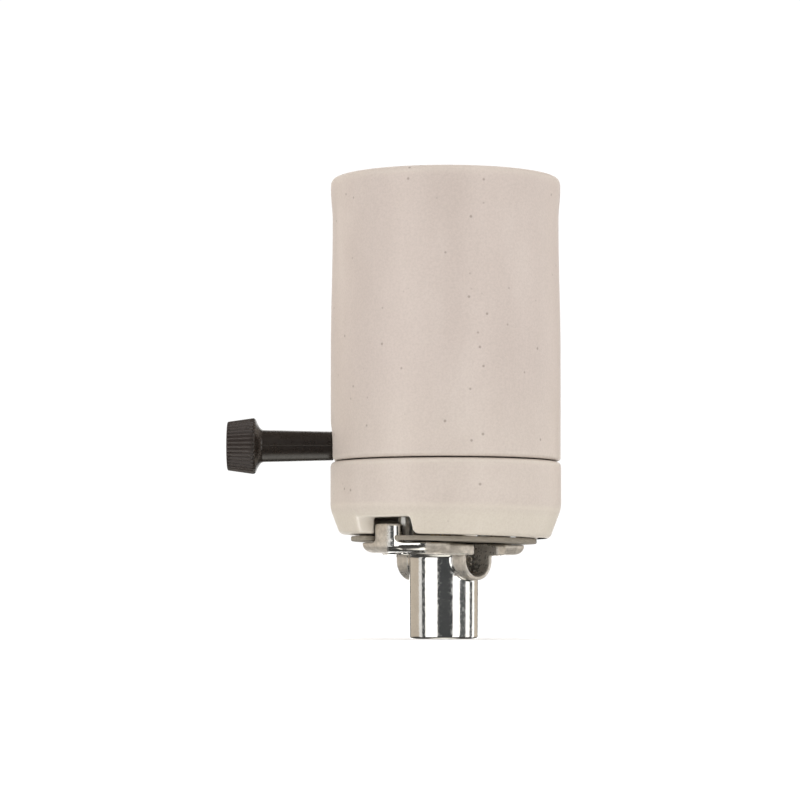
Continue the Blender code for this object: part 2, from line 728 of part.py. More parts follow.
def switch_spindle():
    """Stepped steel spindle with a threaded tip for the knob."""
    tip = KNOB_STEM_END_X - KNOB_BORE_DEPTH + 1.5 * MM
    step = -20.0 * MM
    end = 10.6 * MM
    profile = [
        (0.0, tip),
        (SPINDLE_TIP_RADIUS - 0.3 * MM, tip),
        (SPINDLE_TIP_RADIUS, tip + 0.3 * MM),
        (SPINDLE_TIP_RADIUS, step),
        (SPINDLE_RADIUS, step),
        (SPINDLE_RADIUS, end),
        (0.0, end),
    ]
    shape = turned(profile, 20, placement=along_x(0.0, SWITCH_Z))
    return add_object("switch_spindle", shape, "plated_steel")


def rotor_outline(tip_radius, waist_radius, lobes, steps_per_lobe):
    """A lobed outline: the radius swings between waist and tip."""
    outline = []
    steps = lobes * steps_per_lobe
    for step in range(steps):
        angle = math.tau * step / steps
        swing = 0.5 + 0.5 * math.cos(lobes * angle)
        outline.append(polar(waist_radius + (tip_radius - waist_radius) * swing, angle))
    return outline


def on_shaft(name, outline, x_low, x_high, material_name):
    """A flat plate on the spindle with a bore for it."""
    shape = prism(outline, x_high - x_low, along_x(x_low, SWITCH_Z))
    obj = add_object(name, shape, material_name)
    reach = [(0.0, x_low - 2 * MM), (SPINDLE_RADIUS + RUNNING_CLEARANCE, x_low - 2 * MM)]
    reach += [(SPINDLE_RADIUS + RUNNING_CLEARANCE, x_high + 2 * MM), (0.0, x_high + 2 * MM)]
    cut(obj, turned(reach, 20, placement=along_x(0.0, SWITCH_Z)))
    return obj


def blade_outline():
    """A ring with two opposite arms, seen along the spindle."""
    half_width = 1.6 * MM
    ring_radius = 3.6 * MM
    shoulder = math.asin(half_width / ring_radius)
    outline = []
    for middle in (math.pi / 2, -math.pi / 2):
        reach = math.asin(half_width / BLADE_TIP_RADIUS)
        outline += arc(BLADE_TIP_RADIUS, middle - reach, middle + reach, 2)
        outline += arc(ring_radius, middle + shoulder, middle + math.pi - shoulder, 6)
    return outline


def turning_switch_parts():
    """Everything that turns with the knob."""
    insert_end = KNOB_STEM_END_X - 0.1 * MM
    insert_start = insert_end - KNOB_BORE_DEPTH + 1.0 * MM
    bore = SPINDLE_RADIUS + RUNNING_CLEARANCE
    wheel = rotor_outline(5.3 * MM, 4.3 * MM, DETENT_LOBES, 8)
    return [
        knob(),
        shaft_ring("knob_insert", 2.7 * MM, insert_start, insert_end, 1.8 * MM, "brass", 20),
        switch_spindle(),
        on_shaft("detent_wheel", wheel, -13.5 * MM, -11 * MM, "plated_steel"),
        shaft_ring("rotor", ROTOR_RADIUS, -8 * MM, -1 * MM, bore, "phenolic"),
        on_shaft("rotor_blade", blade_outline(), -0.7 * MM, 0.1 * MM, "brass"),
        shaft_ring("spindle_clip", 3.2 * MM, 9.4 * MM, 10.1 * MM, bore, "plated_steel", 16),
    ]


def switch_frame():
    """U-shaped steel frame whose two ends carry the spindle."""
    foot = BASE_WEB_TOP + GAP
    top = SWITCH_Z + 4.6 * MM
    left = -17.0 * MM
    right = 9.0 * MM
    sheet = 1.0 * MM
    outline = [
        (left, foot),
        (right, foot),
        (right, top),
        (right - sheet, top),
        (right - sheet, foot + sheet),
        (left + sheet, foot + sheet),
        (left + sheet, top),
        (left, top),
    ]
    frame = add_object("switch_frame", side_strip(outline, 6.2 * MM), "plated_steel")
    bearing = SPINDLE_RADIUS + RUNNING_CLEARANCE
    profile = [(0.0, -25 * MM), (bearing, -25 * MM), (bearing, 15 * MM), (0.0, 15 * MM)]
    cut(frame, turned(profile, 20, placement=along_x(0.0, SWITCH_Z)))
    for x, y in frame_screw_places():
        cut(frame, cylinder(x, y, 30 * MM, 42 * MM, FRAME_HOLE_RADIUS, 12))
    names = ("frame_screw_left", "frame_screw_right")
    for name, (x, y) in zip(names, frame_screw_places()):
        slotted_screw(name, x, y, foot + sheet + 0.2 * MM, 32.5 * MM, 2.5 * MM, 1.3 * MM, 1.5 * MM)


def detent_spring():
    """Leaf spring from the frame's left end over the detent wheel."""
    back = -15.7 * MM
    leaf = 0.5 * MM
    low = 49.8 * MM
    top = SWITCH_Z + 6.3 * MM
    outline = [
        (back, low),
        (back + leaf, low),
        (back + leaf, top - leaf),
        (-10.6 * MM, top - leaf),
        (-10.6 * MM, top),
        (back, top),
    ]
    add_object("detent_spring", side_strip(outline, 2.5 * MM), "spring_bronze")


def fixed_contacts():
    """The line contact, the load contact, their screws and the wire terminals."""
    foot = BASE_WEB_TOP + GAP
    x_low = CONTACT_X - 2.5 * MM
    x_high = CONTACT_X + 2.5 * MM
    reach = 14.5 * MM
    line = [
        (CONTACT_Y, foot),
        (reach, foot),
        (reach, foot + STRIP),
        (CONTACT_Y + STRIP, foot + STRIP),
        (CONTACT_Y + STRIP, 52 * MM),
        (CONTACT_Y, 52 * MM),
    ]
    line_contact = add_object("line_contact", end_strip(line, x_low, x_high), "spring_bronze")
    cut(line_contact, cylinder(CONTACT_X, TERMINAL_Y, 30 * MM, 45 * MM, TERMINAL_HOLE_RADIUS, 12))

    top = BODY_WEB_BOTTOM - GAP
    load = [
        (-CONTACT_Y, foot),
        (-CONTACT_Y, top - STRIP),
        (-4.5 * MM, top - STRIP),
        (-4.5 * MM, top),
        (-CONTACT_Y - STRIP, top),
        (-CONTACT_Y - STRIP, foot + STRIP),
        (-reach, foot + STRIP),
        (-reach, foot),
    ]
    load_contact = add_object("load_contact", end_strip(load, x_low, x_high), "spring_bronze")
    arm_start = x_high - 0.6 * MM
    arm_edge = -CONTACT_Y - 0.4 * MM
    arm_far = -9.5 * MM
    arm = [
        (arm_start, arm_edge),
        (arm_start, -4.9 * MM),
        (-4.2 * MM, -4.9 * MM),
        (-4.2 * MM, 2.5 * MM),
        (arm_far, 2.5 * MM),
        (arm_far, arm_edge),
    ]
    unite(load_contact, plate(arm, top - STRIP + 0.1 * MM, top - 0.1 * MM))
    cut(load_contact, cylinder(CONTACT_X, -TERMINAL_Y, 30 * MM, 45 * MM, TERMINAL_HOLE_RADIUS, 12))
    cut(load_contact, cylinder(RIVET_X, 0.0, 50 * MM, 60 * MM, RIVET_HOLE_RADIUS, 12))

    plate_top = BASE_WEB_BOTTOM - GAP
    plate_low = plate_top - STRIP
    terminals = {
        "line_terminal": ((-3.6 * MM, 7.4 * MM), (3.0 * MM, 15.2 * MM), (CONTACT_X, TERMINAL_Y)),
        "neutral_terminal": ((9.6 * MM, -3.3 * MM), (16.8 * MM, 3.3 * MM), (NEUTRAL_X, 0.0)),
    }
    screw_tip = 39.4 * MM
    for name, (low, high, (x, y)) in terminals.items():
        terminal = add_object(name, box((*low, plate_low), (*high, plate_top)), "brass")
        cut(terminal, cylinder(x, y, 20 * MM, 35 * MM, TERMINAL_HOLE_RADIUS, 12))
        seat = plate_low - 0.2 * MM
        slotted_screw(f"{name}_screw", x, y, seat, screw_tip, 3.0 * MM, 1.6 * MM, 2.0 * MM)
    x, y = CONTACT_X, -TERMINAL_Y
    slotted_screw("load_contact_screw", x, y, plate_top, screw_tip, 3.0 * MM, 1.6 * MM, 2.0 * MM)


def assembly_screws():
    """Two long screws from the socket's floor down into the bracket's strap."""
    names = ("assembly_screw_front", "assembly_screw_back")
    for name, (x, y) in zip(names, assembly_screw_places()):
        slotted_screw(name, x, y, 60.8 * MM, 21.6 * MM, 3.6 * MM, 2.0 * MM, 2.4 * MM)


# ---------------------------------------------------------------- assembly


def add_pivot(name, location, children):
    """An empty on a joint's axis that carries the moving pieces."""
    pivot = bpy.data.objects.new(name, None)
    pivot.location = location
    bpy.context.collection.objects.link(pivot)
    for child in children:
        child.parent = pivot
        child.matrix_parent_inverse = Matrix.Translation(location).inverted()


def main():
    clear_scene()
    bottom_bracket()
    fibre_disc()
    eyelets()
    lower_base()
    upper_body()
    screw_shell()
    shell_insulator()
    shell_fixings()
    neutral_strap()
    switch_frame()
    detent_spring()
    fixed_contacts()
    assembly_screws()
    add_pivot("switch_axis", (0.0, 0.0, SWITCH_Z), turning_switch_parts())
    add_pivot("leaf_axis", (LEAF_HINGE_X, 0.0, LEAF_HINGE_Z), centre_contact())


main()
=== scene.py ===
"""Looks of a porcelain mogul lampholder with a turn-knob switch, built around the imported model.

The cast, moulded and pressed pieces are distance fields: a function says how far a point lies
from the piece's surface, negative inside, and the surface is read off a fine grid. Where two
shapes meet, the field rounds the corner, as a mould does. Turned pieces are rings of points.
"""
import math

import bpy
import numpy as np
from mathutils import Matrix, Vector

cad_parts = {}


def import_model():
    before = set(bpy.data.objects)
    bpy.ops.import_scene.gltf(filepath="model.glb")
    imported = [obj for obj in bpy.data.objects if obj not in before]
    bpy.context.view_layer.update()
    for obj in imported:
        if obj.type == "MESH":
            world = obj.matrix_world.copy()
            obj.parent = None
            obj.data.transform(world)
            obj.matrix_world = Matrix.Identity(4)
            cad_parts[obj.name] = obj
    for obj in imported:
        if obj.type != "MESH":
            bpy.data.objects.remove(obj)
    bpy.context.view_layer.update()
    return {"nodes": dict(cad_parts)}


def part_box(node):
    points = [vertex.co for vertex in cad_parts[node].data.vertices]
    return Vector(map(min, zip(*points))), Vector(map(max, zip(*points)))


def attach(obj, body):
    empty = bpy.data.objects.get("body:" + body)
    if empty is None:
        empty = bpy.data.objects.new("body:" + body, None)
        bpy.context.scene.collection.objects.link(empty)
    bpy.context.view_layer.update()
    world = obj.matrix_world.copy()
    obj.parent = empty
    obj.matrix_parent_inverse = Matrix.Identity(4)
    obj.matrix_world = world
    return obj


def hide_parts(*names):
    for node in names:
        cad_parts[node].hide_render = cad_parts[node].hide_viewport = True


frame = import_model()

MM = 0.001
TAU = math.tau
DIAGONAL = math.sqrt(0.5)


# ---------------------------------------------------------------- places read from the frame

bracket_low, bracket_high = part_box("bottom_bracket")
disc_low, disc_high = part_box("fibre_disc")
base_low, base_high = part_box("lower_base")
body_low, body_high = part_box("upper_body")
shell_low, shell_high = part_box("screw_shell")
knob_low, knob_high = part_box("knob")
spindle_low, spindle_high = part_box("switch_spindle")

TOUCHING_GAP = 0.3 * MM
OUTER_RADIUS = base_high.x
SWITCH_Z = (spindle_low.z + spindle_high.z) / 2
STRAP_TOP = disc_low.z - TOUCHING_GAP

ASSEMBLY_SCREWS = ["assembly_screw_front", "assembly_screw_back"]
TERMINAL_SCREWS = ["line_terminal_screw", "neutral_terminal_screw", "load_contact_screw"]
FRAME_SCREWS = ["frame_screw_left", "frame_screw_right"]
SHELL_SCREWS = ["shell_screw_left", "shell_screw_right"]
EYELETS = ["disc_eyelet_left", "disc_eyelet_right"]


def centre_of(node):
    """The middle of a node's box."""
    low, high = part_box(node)
    return (low + high) / 2


# ---------------------------------------------------------------- distance fields
#
# The last argument of smooth_union, smooth_overlap, smooth_cut, upright_cylinder and drilled is
# the radius of the rounding.


def smooth_union(a, b, radius):
    """Both shapes, with a fillet of about this radius where they meet."""
    blend = np.maximum(radius - np.abs(a - b), 0.0)
    return np.minimum(a, b) - blend * blend / (4.0 * radius)


def smooth_overlap(a, b, radius):
    """What is in both shapes, with its edge rounded."""
    return -smooth_union(-a, -b, radius)


def smooth_cut(a, b, radius):
    """The first shape without the second, with the rim rounded."""
    return smooth_overlap(a, -b, radius)


def smooth_step(start, end, value):
    """0 before start, 1 after end, and an S between them."""
    share = np.clip((value - start) / (end - start), 0.0, 1.0)
    return share * share * (3.0 - 2.0 * share)


def upright_cylinder(x, y, z, node, radius, bottom, top, rounding):
    """A round bar that stands at a node's middle."""
    middle = centre_of(node)
    side = np.hypot(x - middle.x, y - middle.y) - radius
    ends = np.maximum(bottom - z, z - top)
    return smooth_overlap(side, ends, rounding)


def drilled(shape, x, y, nodes, radius, rounding):
    """The shape with an upright hole through it at the middle of each node."""
    for node in nodes:
        middle = centre_of(node)
        shape = smooth_cut(shape, np.hypot(x - middle.x, y - middle.y) - radius, rounding)
    return shape


def arch(across, z, centre_z, radius):
    """A slot seen along its length: straight above centre_z, round below it."""
    below = np.minimum(z - centre_z, 0.0)
    return np.hypot(across, below) - radius


def sideways(x, y, direction):
    """How far a point lies to the side of a line that leaves the axis in a direction."""
    return x * direction[1] - y * direction[0]


CORNERS = [(i, j, k) for i in (0, 1) for j in (0, 1) for k in (0, 1)]
SETTLING_MOVES = 4


def cell_points(values, cells):
    """The middle of the surface's crossings in each cell, in cells."""
    at = [values[cells[:, 0] + i, cells[:, 1] + j, cells[:, 2] + k] for i, j, k in CORNERS]
    total = np.zeros((len(cells), 3))
    hits = np.zeros((len(cells), 1))
    for a, first in enumerate(CORNERS):
        for b, second in enumerate(CORNERS):
            if b <= a or sum(abs(p - q) for p, q in zip(first, second)) != 1:
                continue
            crosses = ((at[a] < 0.0) != (at[b] < 0.0))[:, None]
            share = at[a] / np.where(at[a] == at[b], 1.0, at[a] - at[b])
            place = np.array(first) + share[:, None] * (np.array(second) - np.array(first))
            total += np.where(crosses, place, 0.0)
            hits += crosses
    return cells + total / hits


def slope_at(points, field, reach):
    """The field's slope at each point, measured over twice the reach."""
    slope = np.empty_like(points)
    for axis in range(3):
        shift = np.zeros(3)
        shift[axis] = reach
        slope[:, axis] = (field(*(points + shift).T) - field(*(points - shift).T)) / (2.0 * reach)
    return slope


def settle(points, field, step):
    """Points moved onto the surface along the field's slope, at most about a step at a time."""
    for _ in range(SETTLING_MOVES):
        slope = slope_at(points, field, step * 0.1)
        steepness = np.maximum((slope * slope).sum(axis=1), 0.25)
        move = np.clip(field(*points.T) / steepness, -step, step)
        points = points - move[:, None] * slope
    return points


def surface_of(field, low, high, step):
    """Points and quads of the surface where the field is zero: a point in each cell it crosses."""
    axes = [np.arange(low[i] - 2 * step, high[i] + 3 * step, step) for i in range(3)]
    x, y, z = np.meshgrid(*axes, indexing="ij", sparse=True)
    values = np.array(np.broadcast_to(field(x, y, z), [len(axis) for axis in axes]))
    inside = values < 0.0
    shape = [size - 1 for size in inside.shape]
    corners_inside = np.zeros(shape, np.int8)
    for i, j, k in CORNERS:
        corners_inside += inside[i:i + shape[0], j:j + shape[1], k:k + shape[2]]
    active = (corners_inside > 0) & (corners_inside < len(CORNERS))
    cells = np.argwhere(active)
    number = np.full(shape, -1)
    number[active] = np.arange(len(cells))
    origin = np.array([axis[0] for axis in axes])
    points = settle(origin + cell_points(values, cells) * step, field, step)

    # Each grid edge that the surface crosses gets a quad through the four cells round it.
    quads = []
    steps = np.eye(3, dtype=int)
    for axis in range(3):
        length = inside.shape[axis]
        near = inside.take(range(length - 1), axis)
        far = inside.take(range(1, length), axis)
        edges = np.argwhere(near != far)
        side = steps[(axis + 1) % 3]
        other = steps[(axis + 2) % 3]
        ring_cells = [number[tuple((edges - back).T)] for back in (side + other, other, 0 * side, side)]
        quad = np.stack(ring_cells, axis=1)
        entering = ~inside[tuple(edges.T)]
        quad[entering] = quad[entering][:, ::-1]
        quads.append(quad)
    return points, np.concatenate(quads)


# ---------------------------------------------------------------- pieces

EDGE_DEPTH = 0.9 * MM


def add_piece(name, points, faces, material, body, nodes):
    """A smooth mesh that rides on a body and stands for CAD nodes."""
    mesh = bpy.data.meshes.new(name)
    mesh.from_pydata(np.asarray(points).tolist(), [], [[int(i) for i in face] for face in faces])
    mesh.validate()
    mesh.shade_smooth()
    mesh.materials.append(material)
    piece = bpy.data.objects.new(name, mesh)
    bpy.context.collection.objects.link(piece)
    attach(piece, body)
    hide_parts(*nodes)
    return piece


def edge_share(points, field):
    """0 on flat places and up to 1 on outer edges, where a step inwards stays close to the surface."""
    slope = slope_at(points, field, 0.05 * MM)
    normal = slope / np.maximum(np.linalg.norm(slope, axis=1), 0.01)[:, None]
    return np.clip((EDGE_DEPTH + field(*(points - normal * EDGE_DEPTH).T)) / (0.45 * EDGE_DEPTH), 0.0, 1.0)


def paint(piece, name, values):
    """A number for each point, for the materials to read."""
    layer = piece.data.attributes.new(name, "FLOAT", "POINT")
    layer.data.foreach_set("value", np.asarray(values, dtype=np.float32))


def field_piece(name, field, box, step, material, body, nodes, layers=None):
    """A piece read off a field in steps of this size. Layers are functions of x, y and z to paint on it."""
    points, quads = surface_of(field, box[0], box[1], step)
    piece = add_piece(name, points, quads, material, body, nodes)
    painted = {"edge": edge_share(points, field)}
    for layer, value_at in (layers or {}).items():
        painted[layer] = np.maximum(painted.get(layer, 0.0), value_at(*points.T))
    for layer, values in painted.items():
        paint(piece, layer, values)
    return piece


def ring(radius, height, around):
    """Points round the upright axis. The radius is one value, or one for each point."""
    angles = np.arange(around) * TAU / around
    return np.stack([radius * np.cos(angles), radius * np.sin(angles), np.full(around, height)], axis=1)


def ring_grid(rows, closed):
    """Points and faces of rings of equal length. A closed grid joins its last ring to its first."""
    rows = np.asarray(rows)
    around = rows.shape[1]
    faces = []
    for row in range(len(rows) if closed else len(rows) - 1):
        here = row * around
        after = (row + 1) % len(rows) * around
        for step in range(around):
            turn = (step + 1) % around
            faces.append((here + step, here + turn, after + turn, after + step))
    return rows.reshape(-1, 3), faces


def capped(points, faces, around):
    """Close an open grid of rings with a face at each end."""
    last = len(points) - around
    first_cap = tuple(reversed(range(around)))
    last_cap = tuple(range(last, last + around))
    return points, [*faces, first_cap, last_cap]


def arc(centre, radius, start, end, steps):
    """Profile points on an arc, both ends included, with angles in degrees."""
    angles = np.radians(np.linspace(start, end, steps + 1))
    return [(centre[0] + radius * math.cos(a), centre[1] + radius * math.sin(a)) for a in angles]


# ---------------------------------------------------------------- node materials


class Nodes:
    """A short way to build the nodes of a material or a world."""

    def __init__(self, owner):
        owner.use_nodes = True
        self.owner = owner
        self.tree = owner.node_tree

    def feed(self, socket, value):
        """Link another node's socket to this one, or set it to a value."""
        if isinstance(value, bpy.types.NodeSocket):
            self.tree.links.new(value, socket)
        else:
            socket.default_value = value

    def node(self, kind, inputs=None, **settings):
        """A new node, with sockets or values for its inputs."""
        made = self.tree.nodes.new(kind)
        for name, value in settings.items():
            setattr(made, name, value)
        for name, value in (inputs or {}).items():
            self.feed(made.inputs[name], value)
        return made

    def place(self):
        """The object's own coordinates, in metres."""
        return self.node("ShaderNodeTexCoord").outputs["Object"]

    def stretched(self, scale):
        """The object's own coordinates, with a scale for each axis."""
        return self.node("ShaderNodeMapping", {"Scale": scale, "Vector": self.place()}).outputs["Vector"]

    def noise(self, scale, detail=3.0, roughness=0.55, vector=None):
        """Cloudy noise from 0 to 1."""
        inputs = {"Scale": scale, "Detail": detail, "Roughness": roughness}
        inputs["Vector"] = self.place() if vector is None else vector
        return self.node("ShaderNodeTexNoise", inputs).outputs["Fac"]

    def layer(self, name):
        """A number painted on the mesh, 0 where nothing is painted."""
        return self.node("ShaderNodeAttribute", attribute_name=name).outputs["Fac"]

    def spots(self, scale):
        """The distance from scattered points, and a random colour for each of them."""
        made = self.node("ShaderNodeTexVoronoi", {"Scale": scale, "Vector": self.place()})
        return made.outputs["Distance"], made.outputs["Color"]

    def dots(self, scale, missing, strength, *profile):
        """Scattered dots, a share of them missing. The profile runs from a dot's middle outwards."""
        distance, chance = self.spots(scale)
        present = self.math("GREATER_THAN", chance, missing)
        shape = self.math("MULTIPLY", present, self.ramp(distance, *profile))
        return self.math("MULTIPLY", shape, strength)

    def ramp(self, value, *stops):
        """A colour that follows a value through (position, colour or grey) stops."""
        made = self.node("ShaderNodeValToRGB", {"Fac": value})
        elements = made.color_ramp.elements
        while len(elements) < len(stops):
            elements.new(0.5)
        for element, (position, colour) in zip(elements, stops):
            channels = colour if isinstance(colour, tuple) else (colour, colour, colour)
            element.position = position
            element.color = (*channels, 1.0)
        return made.outputs["Color"]

    def mix(self, share, a, b, mode="MIX"):
        """Colour a with a share of colour b."""
        made = self.node("ShaderNodeMix", data_type="RGBA", blend_type=mode)
        for name, value in {"Factor": share, "A": a, "B": b}.items():
            socket = [s for s in made.inputs if s.name == name and s.enabled][0]
            self.feed(socket, (*value, 1.0) if isinstance(value, tuple) else value)
        return [s for s in made.outputs if s.enabled][0]

    def mix_shaders(self, share, a, b):
        """Shader a with a share of shader b."""
        return self.node("ShaderNodeMixShader", {0: share, 1: a, 2: b}).outputs[0]

    def math(self, operation, a, b):
        """The result of a sum on two values."""
        return self.node("ShaderNodeMath", {0: a, 1: b}, operation=operation).outputs[0]

    def bump(self, height, distance, strength=1.0, under=None):
        """A normal that follows a height, over another bump if one is given."""
        inputs = {"Height": height, "Distance": distance, "Strength": strength}
        if under is not None:
            inputs["Normal"] = under
        return self.node("ShaderNodeBump", inputs).outputs["Normal"]

    def finish(self, colour, roughness, normal=None, metallic=0.0):
        """Feed the material's shader, and give back the material."""
        shader = self.tree.nodes["Principled BSDF"]
        self.feed(shader.inputs["Base Color"], colour)
        self.feed(shader.inputs["Roughness"], roughness)
        self.feed(shader.inputs["Metallic"], metallic)
        if normal is not None:
            self.feed(shader.inputs["Normal"], normal)
        return self.owner


def new_material(name):
    return Nodes(bpy.data.materials.new(name))


def porcelain_material():
    """Unglazed porcelain: warm, chalky, faintly clouded, with fine grain, sparse dark specks and pits."""
    n = new_material("porcelain")
    clouds = n.noise(55.0, 4.0, 0.6, n.stretched((1.0, 1.0, 0.45)))
    pink = n.ramp(
        clouds, (0.30, (0.475, 0.406, 0.366)), (0.52, (0.505, 0.434, 0.393)), (0.72, (0.535, 0.466, 0.423))
    )
    # The cream is the clay's yellower tint, and it is also lighter than the pink as painted light for the
    # downward-facing foot.
    cream_and_painted_light = n.ramp(clouds, (0.30, (0.553, 0.498, 0.424)), (0.72, (0.611, 0.558, 0.480)))
    clay = n.mix(n.layer("cream_and_painted_light"), pink, cream_and_painted_light)
    grain = n.noise(1900.0, 2.0, 0.7)
    clay = n.mix(0.35, clay, n.ramp(grain, (0.36, 0.44), (0.62, 0.56)), "OVERLAY")
    # Painted highlight: outer edges are painted lighter, and on the base also the line where the chamfer
    # meets the side.
    edge_highlight = (0.66, 0.60, 0.51)
    clay = n.mix(n.math("MULTIPLY", n.layer("edge"), 0.28), clay, edge_highlight)
    speck_brown = (0.16, 0.125, 0.10)
    clay = n.mix(n.dots(300.0, 0.58, 0.62, (0.0, 1.0), (0.07, 0.85), (0.135, 0.0)), clay, speck_brown)
    pit_brown = (0.34, 0.27, 0.21)
    clay = n.mix(n.dots(900.0, 0.80, 0.22, (0.0, 1.0), (0.24, 0.0)), clay, pit_brown)
    # Painted light: the walls of the lug notches are painted near white, for the light that falls on them.
    notch_lit_white = (0.93, 0.88, 0.80)
    clay = n.mix(n.layer("notch_lit"), clay, notch_lit_white)
    relief = n.bump(n.noise(420.0, 3.0, 0.6), 0.00003)
    relief = n.bump(grain, 0.00002, 0.8, relief)
    return n.finish(clay, n.ramp(clouds, (0.3, 0.42), (0.7, 0.52)), relief)


def phenolic_material():
    """Moulded dark brown phenolic, satin, with faint flow marks, lighter where fingers rub it."""
    n = new_material("phenolic")
    flow = n.noise(230.0, 3.0, 0.6, n.stretched((0.35, 1.0, 1.0)))
    colour = n.ramp(flow, (0.3, (0.011, 0.0075, 0.0055)), (0.7, (0.019, 0.013, 0.0095)))
    rubbed_brown = (0.040, 0.031, 0.027)
    colour = n.mix(n.layer("worn"), colour, rubbed_brown)
    rough = n.ramp(n.noise(700.0), (0.3, 0.24), (0.7, 0.36))
    return n.finish(colour, rough, n.bump(n.noise(1300.0, 2.0), 0.000012))


def casting_material():
    """Bright plated die casting with slight waves. Where it is raw it has a dull, grainy skin."""
    n = new_material("plated_casting")
    raw = n.layer("raw")
    tone = n.noise(160.0, 3.0, 0.6)
    bright = n.ramp(tone, (0.3, (0.64, 0.63, 0.61)), (0.7, (0.71, 0.70, 0.68)))
    grey = n.ramp(n.noise(900.0, 4.0, 0.7), (0.3, (0.42, 0.375, 0.315)), (0.7, (0.70, 0.635, 0.55)))
    grain = n.noise(1500.0, 4.0, 0.7)
    shine = n.ramp(grain, (0.44, 0.06), (0.66, 0.27))
    dull = n.ramp(n.noise(1400.0, 3.0, 0.6), (0.3, 0.34), (0.7, 0.52))
    waves = n.bump(n.noise(90.0, 2.0, 0.4), 0.00002)
    relief = n.bump(grain, 0.00006, n.math("ADD", n.math("MULTIPLY", raw, 0.9), 0.09), waves)
    metallic = n.math("SUBTRACT", 1.0, n.math("MULTIPLY", raw, 0.6))
    return n.finish(n.mix(raw, bright, grey), n.mix(raw, shine, dull), relief, metallic)


def fibre_material():
    """Grey-brown vulcanised fibre with flattened strands."""
    n = new_material("vulcanised_fibre")
    strands = n.noise(900.0, 4.0, 0.7, n.stretched((0.25, 1.0, 3.0)))
    colour = n.ramp(strands, (0.3, (0.19, 0.168, 0.135)), (0.7, (0.32, 0.284, 0.232)))
    return n.finish(colour, n.ramp(strands, (0.3, 0.72), (0.7, 0.9)), n.bump(strands, 0.00005))


def metal_material(name, dark, bright, smooth, rough, grain_scale):
    """A sheet or turned metal: a slow change of tone, and roughness that follows a fine drawn grain."""
    n = new_material(name)
    grain = n.noise(grain_scale, 3.0, 0.6, n.stretched((1.0, 1.0, 0.15)))
    colour = n.ramp(n.noise(140.0, 3.0, 0.6), (0.3, dark), (0.7, bright))
    roughness = n.ramp(grain, (0.3, smooth), (0.7, rough))
    return n.finish(colour, roughness, n.bump(grain, 0.000008), metallic=1.0)


def mica_material():
    """Pressed mica: silvery brown flakes."""
    n = new_material("pressed_mica")
    distance, _ = n.spots(420.0)
    colour = n.ramp(distance, (0.1, (0.50, 0.43, 0.32)), (0.6, (0.33, 0.27, 0.19)))
    return n.finish(colour, n.ramp(distance, (0.0, 0.25), (0.6, 0.55)))


PORCELAIN = porcelain_material()
PHENOLIC = phenolic_material()
CASTING = casting_material()
FIBRE = fibre_material()
MICA = mica_material()
BRASS = metal_material("brass", (0.56, 0.37, 0.15), (0.74, 0.53, 0.26), 0.20, 0.36, 900.0)
BRONZE = metal_material("spring_bronze", (0.50, 0.28, 0.14), (0.66, 0.42, 0.24), 0.24, 0.38, 1100.0)
STEEL = metal_material("plated_steel", (0.46, 0.46, 0.44), (0.64, 0.64, 0.62), 0.22, 0.40, 1000.0)


# ---------------------------------------------------------------- bracket

HUB_RADIUS = 8.5 * MM
HUB_DRAFT = 0.005
BOSS_RADIUS = 15.2 * MM
BOSS_TOP_DROP = 0.4 * MM
STRAP_END_RADIUS = 20.8 * MM
STRAP_HALF_WIDTH = 11.5 * MM
STRAP_BOTTOM = STRAP_TOP - 2.5 * MM
BOSS_BOTTOM = STRAP_BOTTOM - 0.45 * MM
LUG_HALF_WIDTH = 4.2 * MM
LUG_THICKNESS = 2.5 * MM
LUG_BOTTOM = STRAP_BOTTOM + 1.0 * MM
LUG_DIRECTION = (-math.sin(math.radians(44.0)), -math.cos(math.radians(44.0)))
TROUGH_CENTRE_Z = 19.4 * MM
TROUGH_RADIUS = 4.9 * MM
TROUGH_WALL = 0.9 * MM
TROUGH_INNER_RADIUS = TROUGH_RADIUS - TROUGH_WALL
TROUGH_HALF_LENGTH = 11.9 * MM
TROUGH_TOP_DROP = 0.3 * MM
THREAD_RADIUS = 6.4 * MM
THREAD_DEPTH = 0.45 * MM
THREAD_PITCH = 25.4 / 18 * MM
SCREW_HOLE_RADIUS = 2.3 * MM

# As photographed, bracket and disc sit over towards the knob, and the strap leans a little.
SET_OVER = 0.5 * MM
STRAP_LEAN = 0.010
STRAP_LEAN_STARTS = 4 * MM
STRAP_LEAN_FULL = 20 * MM

# The front of the strap is polished between the middle two of these places along X.
POLISHED_FROM = (-14.2 * MM, -13.2 * MM)
POLISHED_TO = (-5.0 * MM, -3.8 * MM)


def thread_radius(x, y, z):
    """The bore's radius along its thread: a rounded V that climbs one pitch a turn."""
    phase = z / THREAD_PITCH - np.arctan2(y, x) / TAU
    ridge = 2.0 * np.abs(phase - np.floor(phase) - 0.5)
    return THREAD_RADIUS + THREAD_DEPTH * (2.0 * smooth_step(0.08, 0.92, ridge) - 1.0)


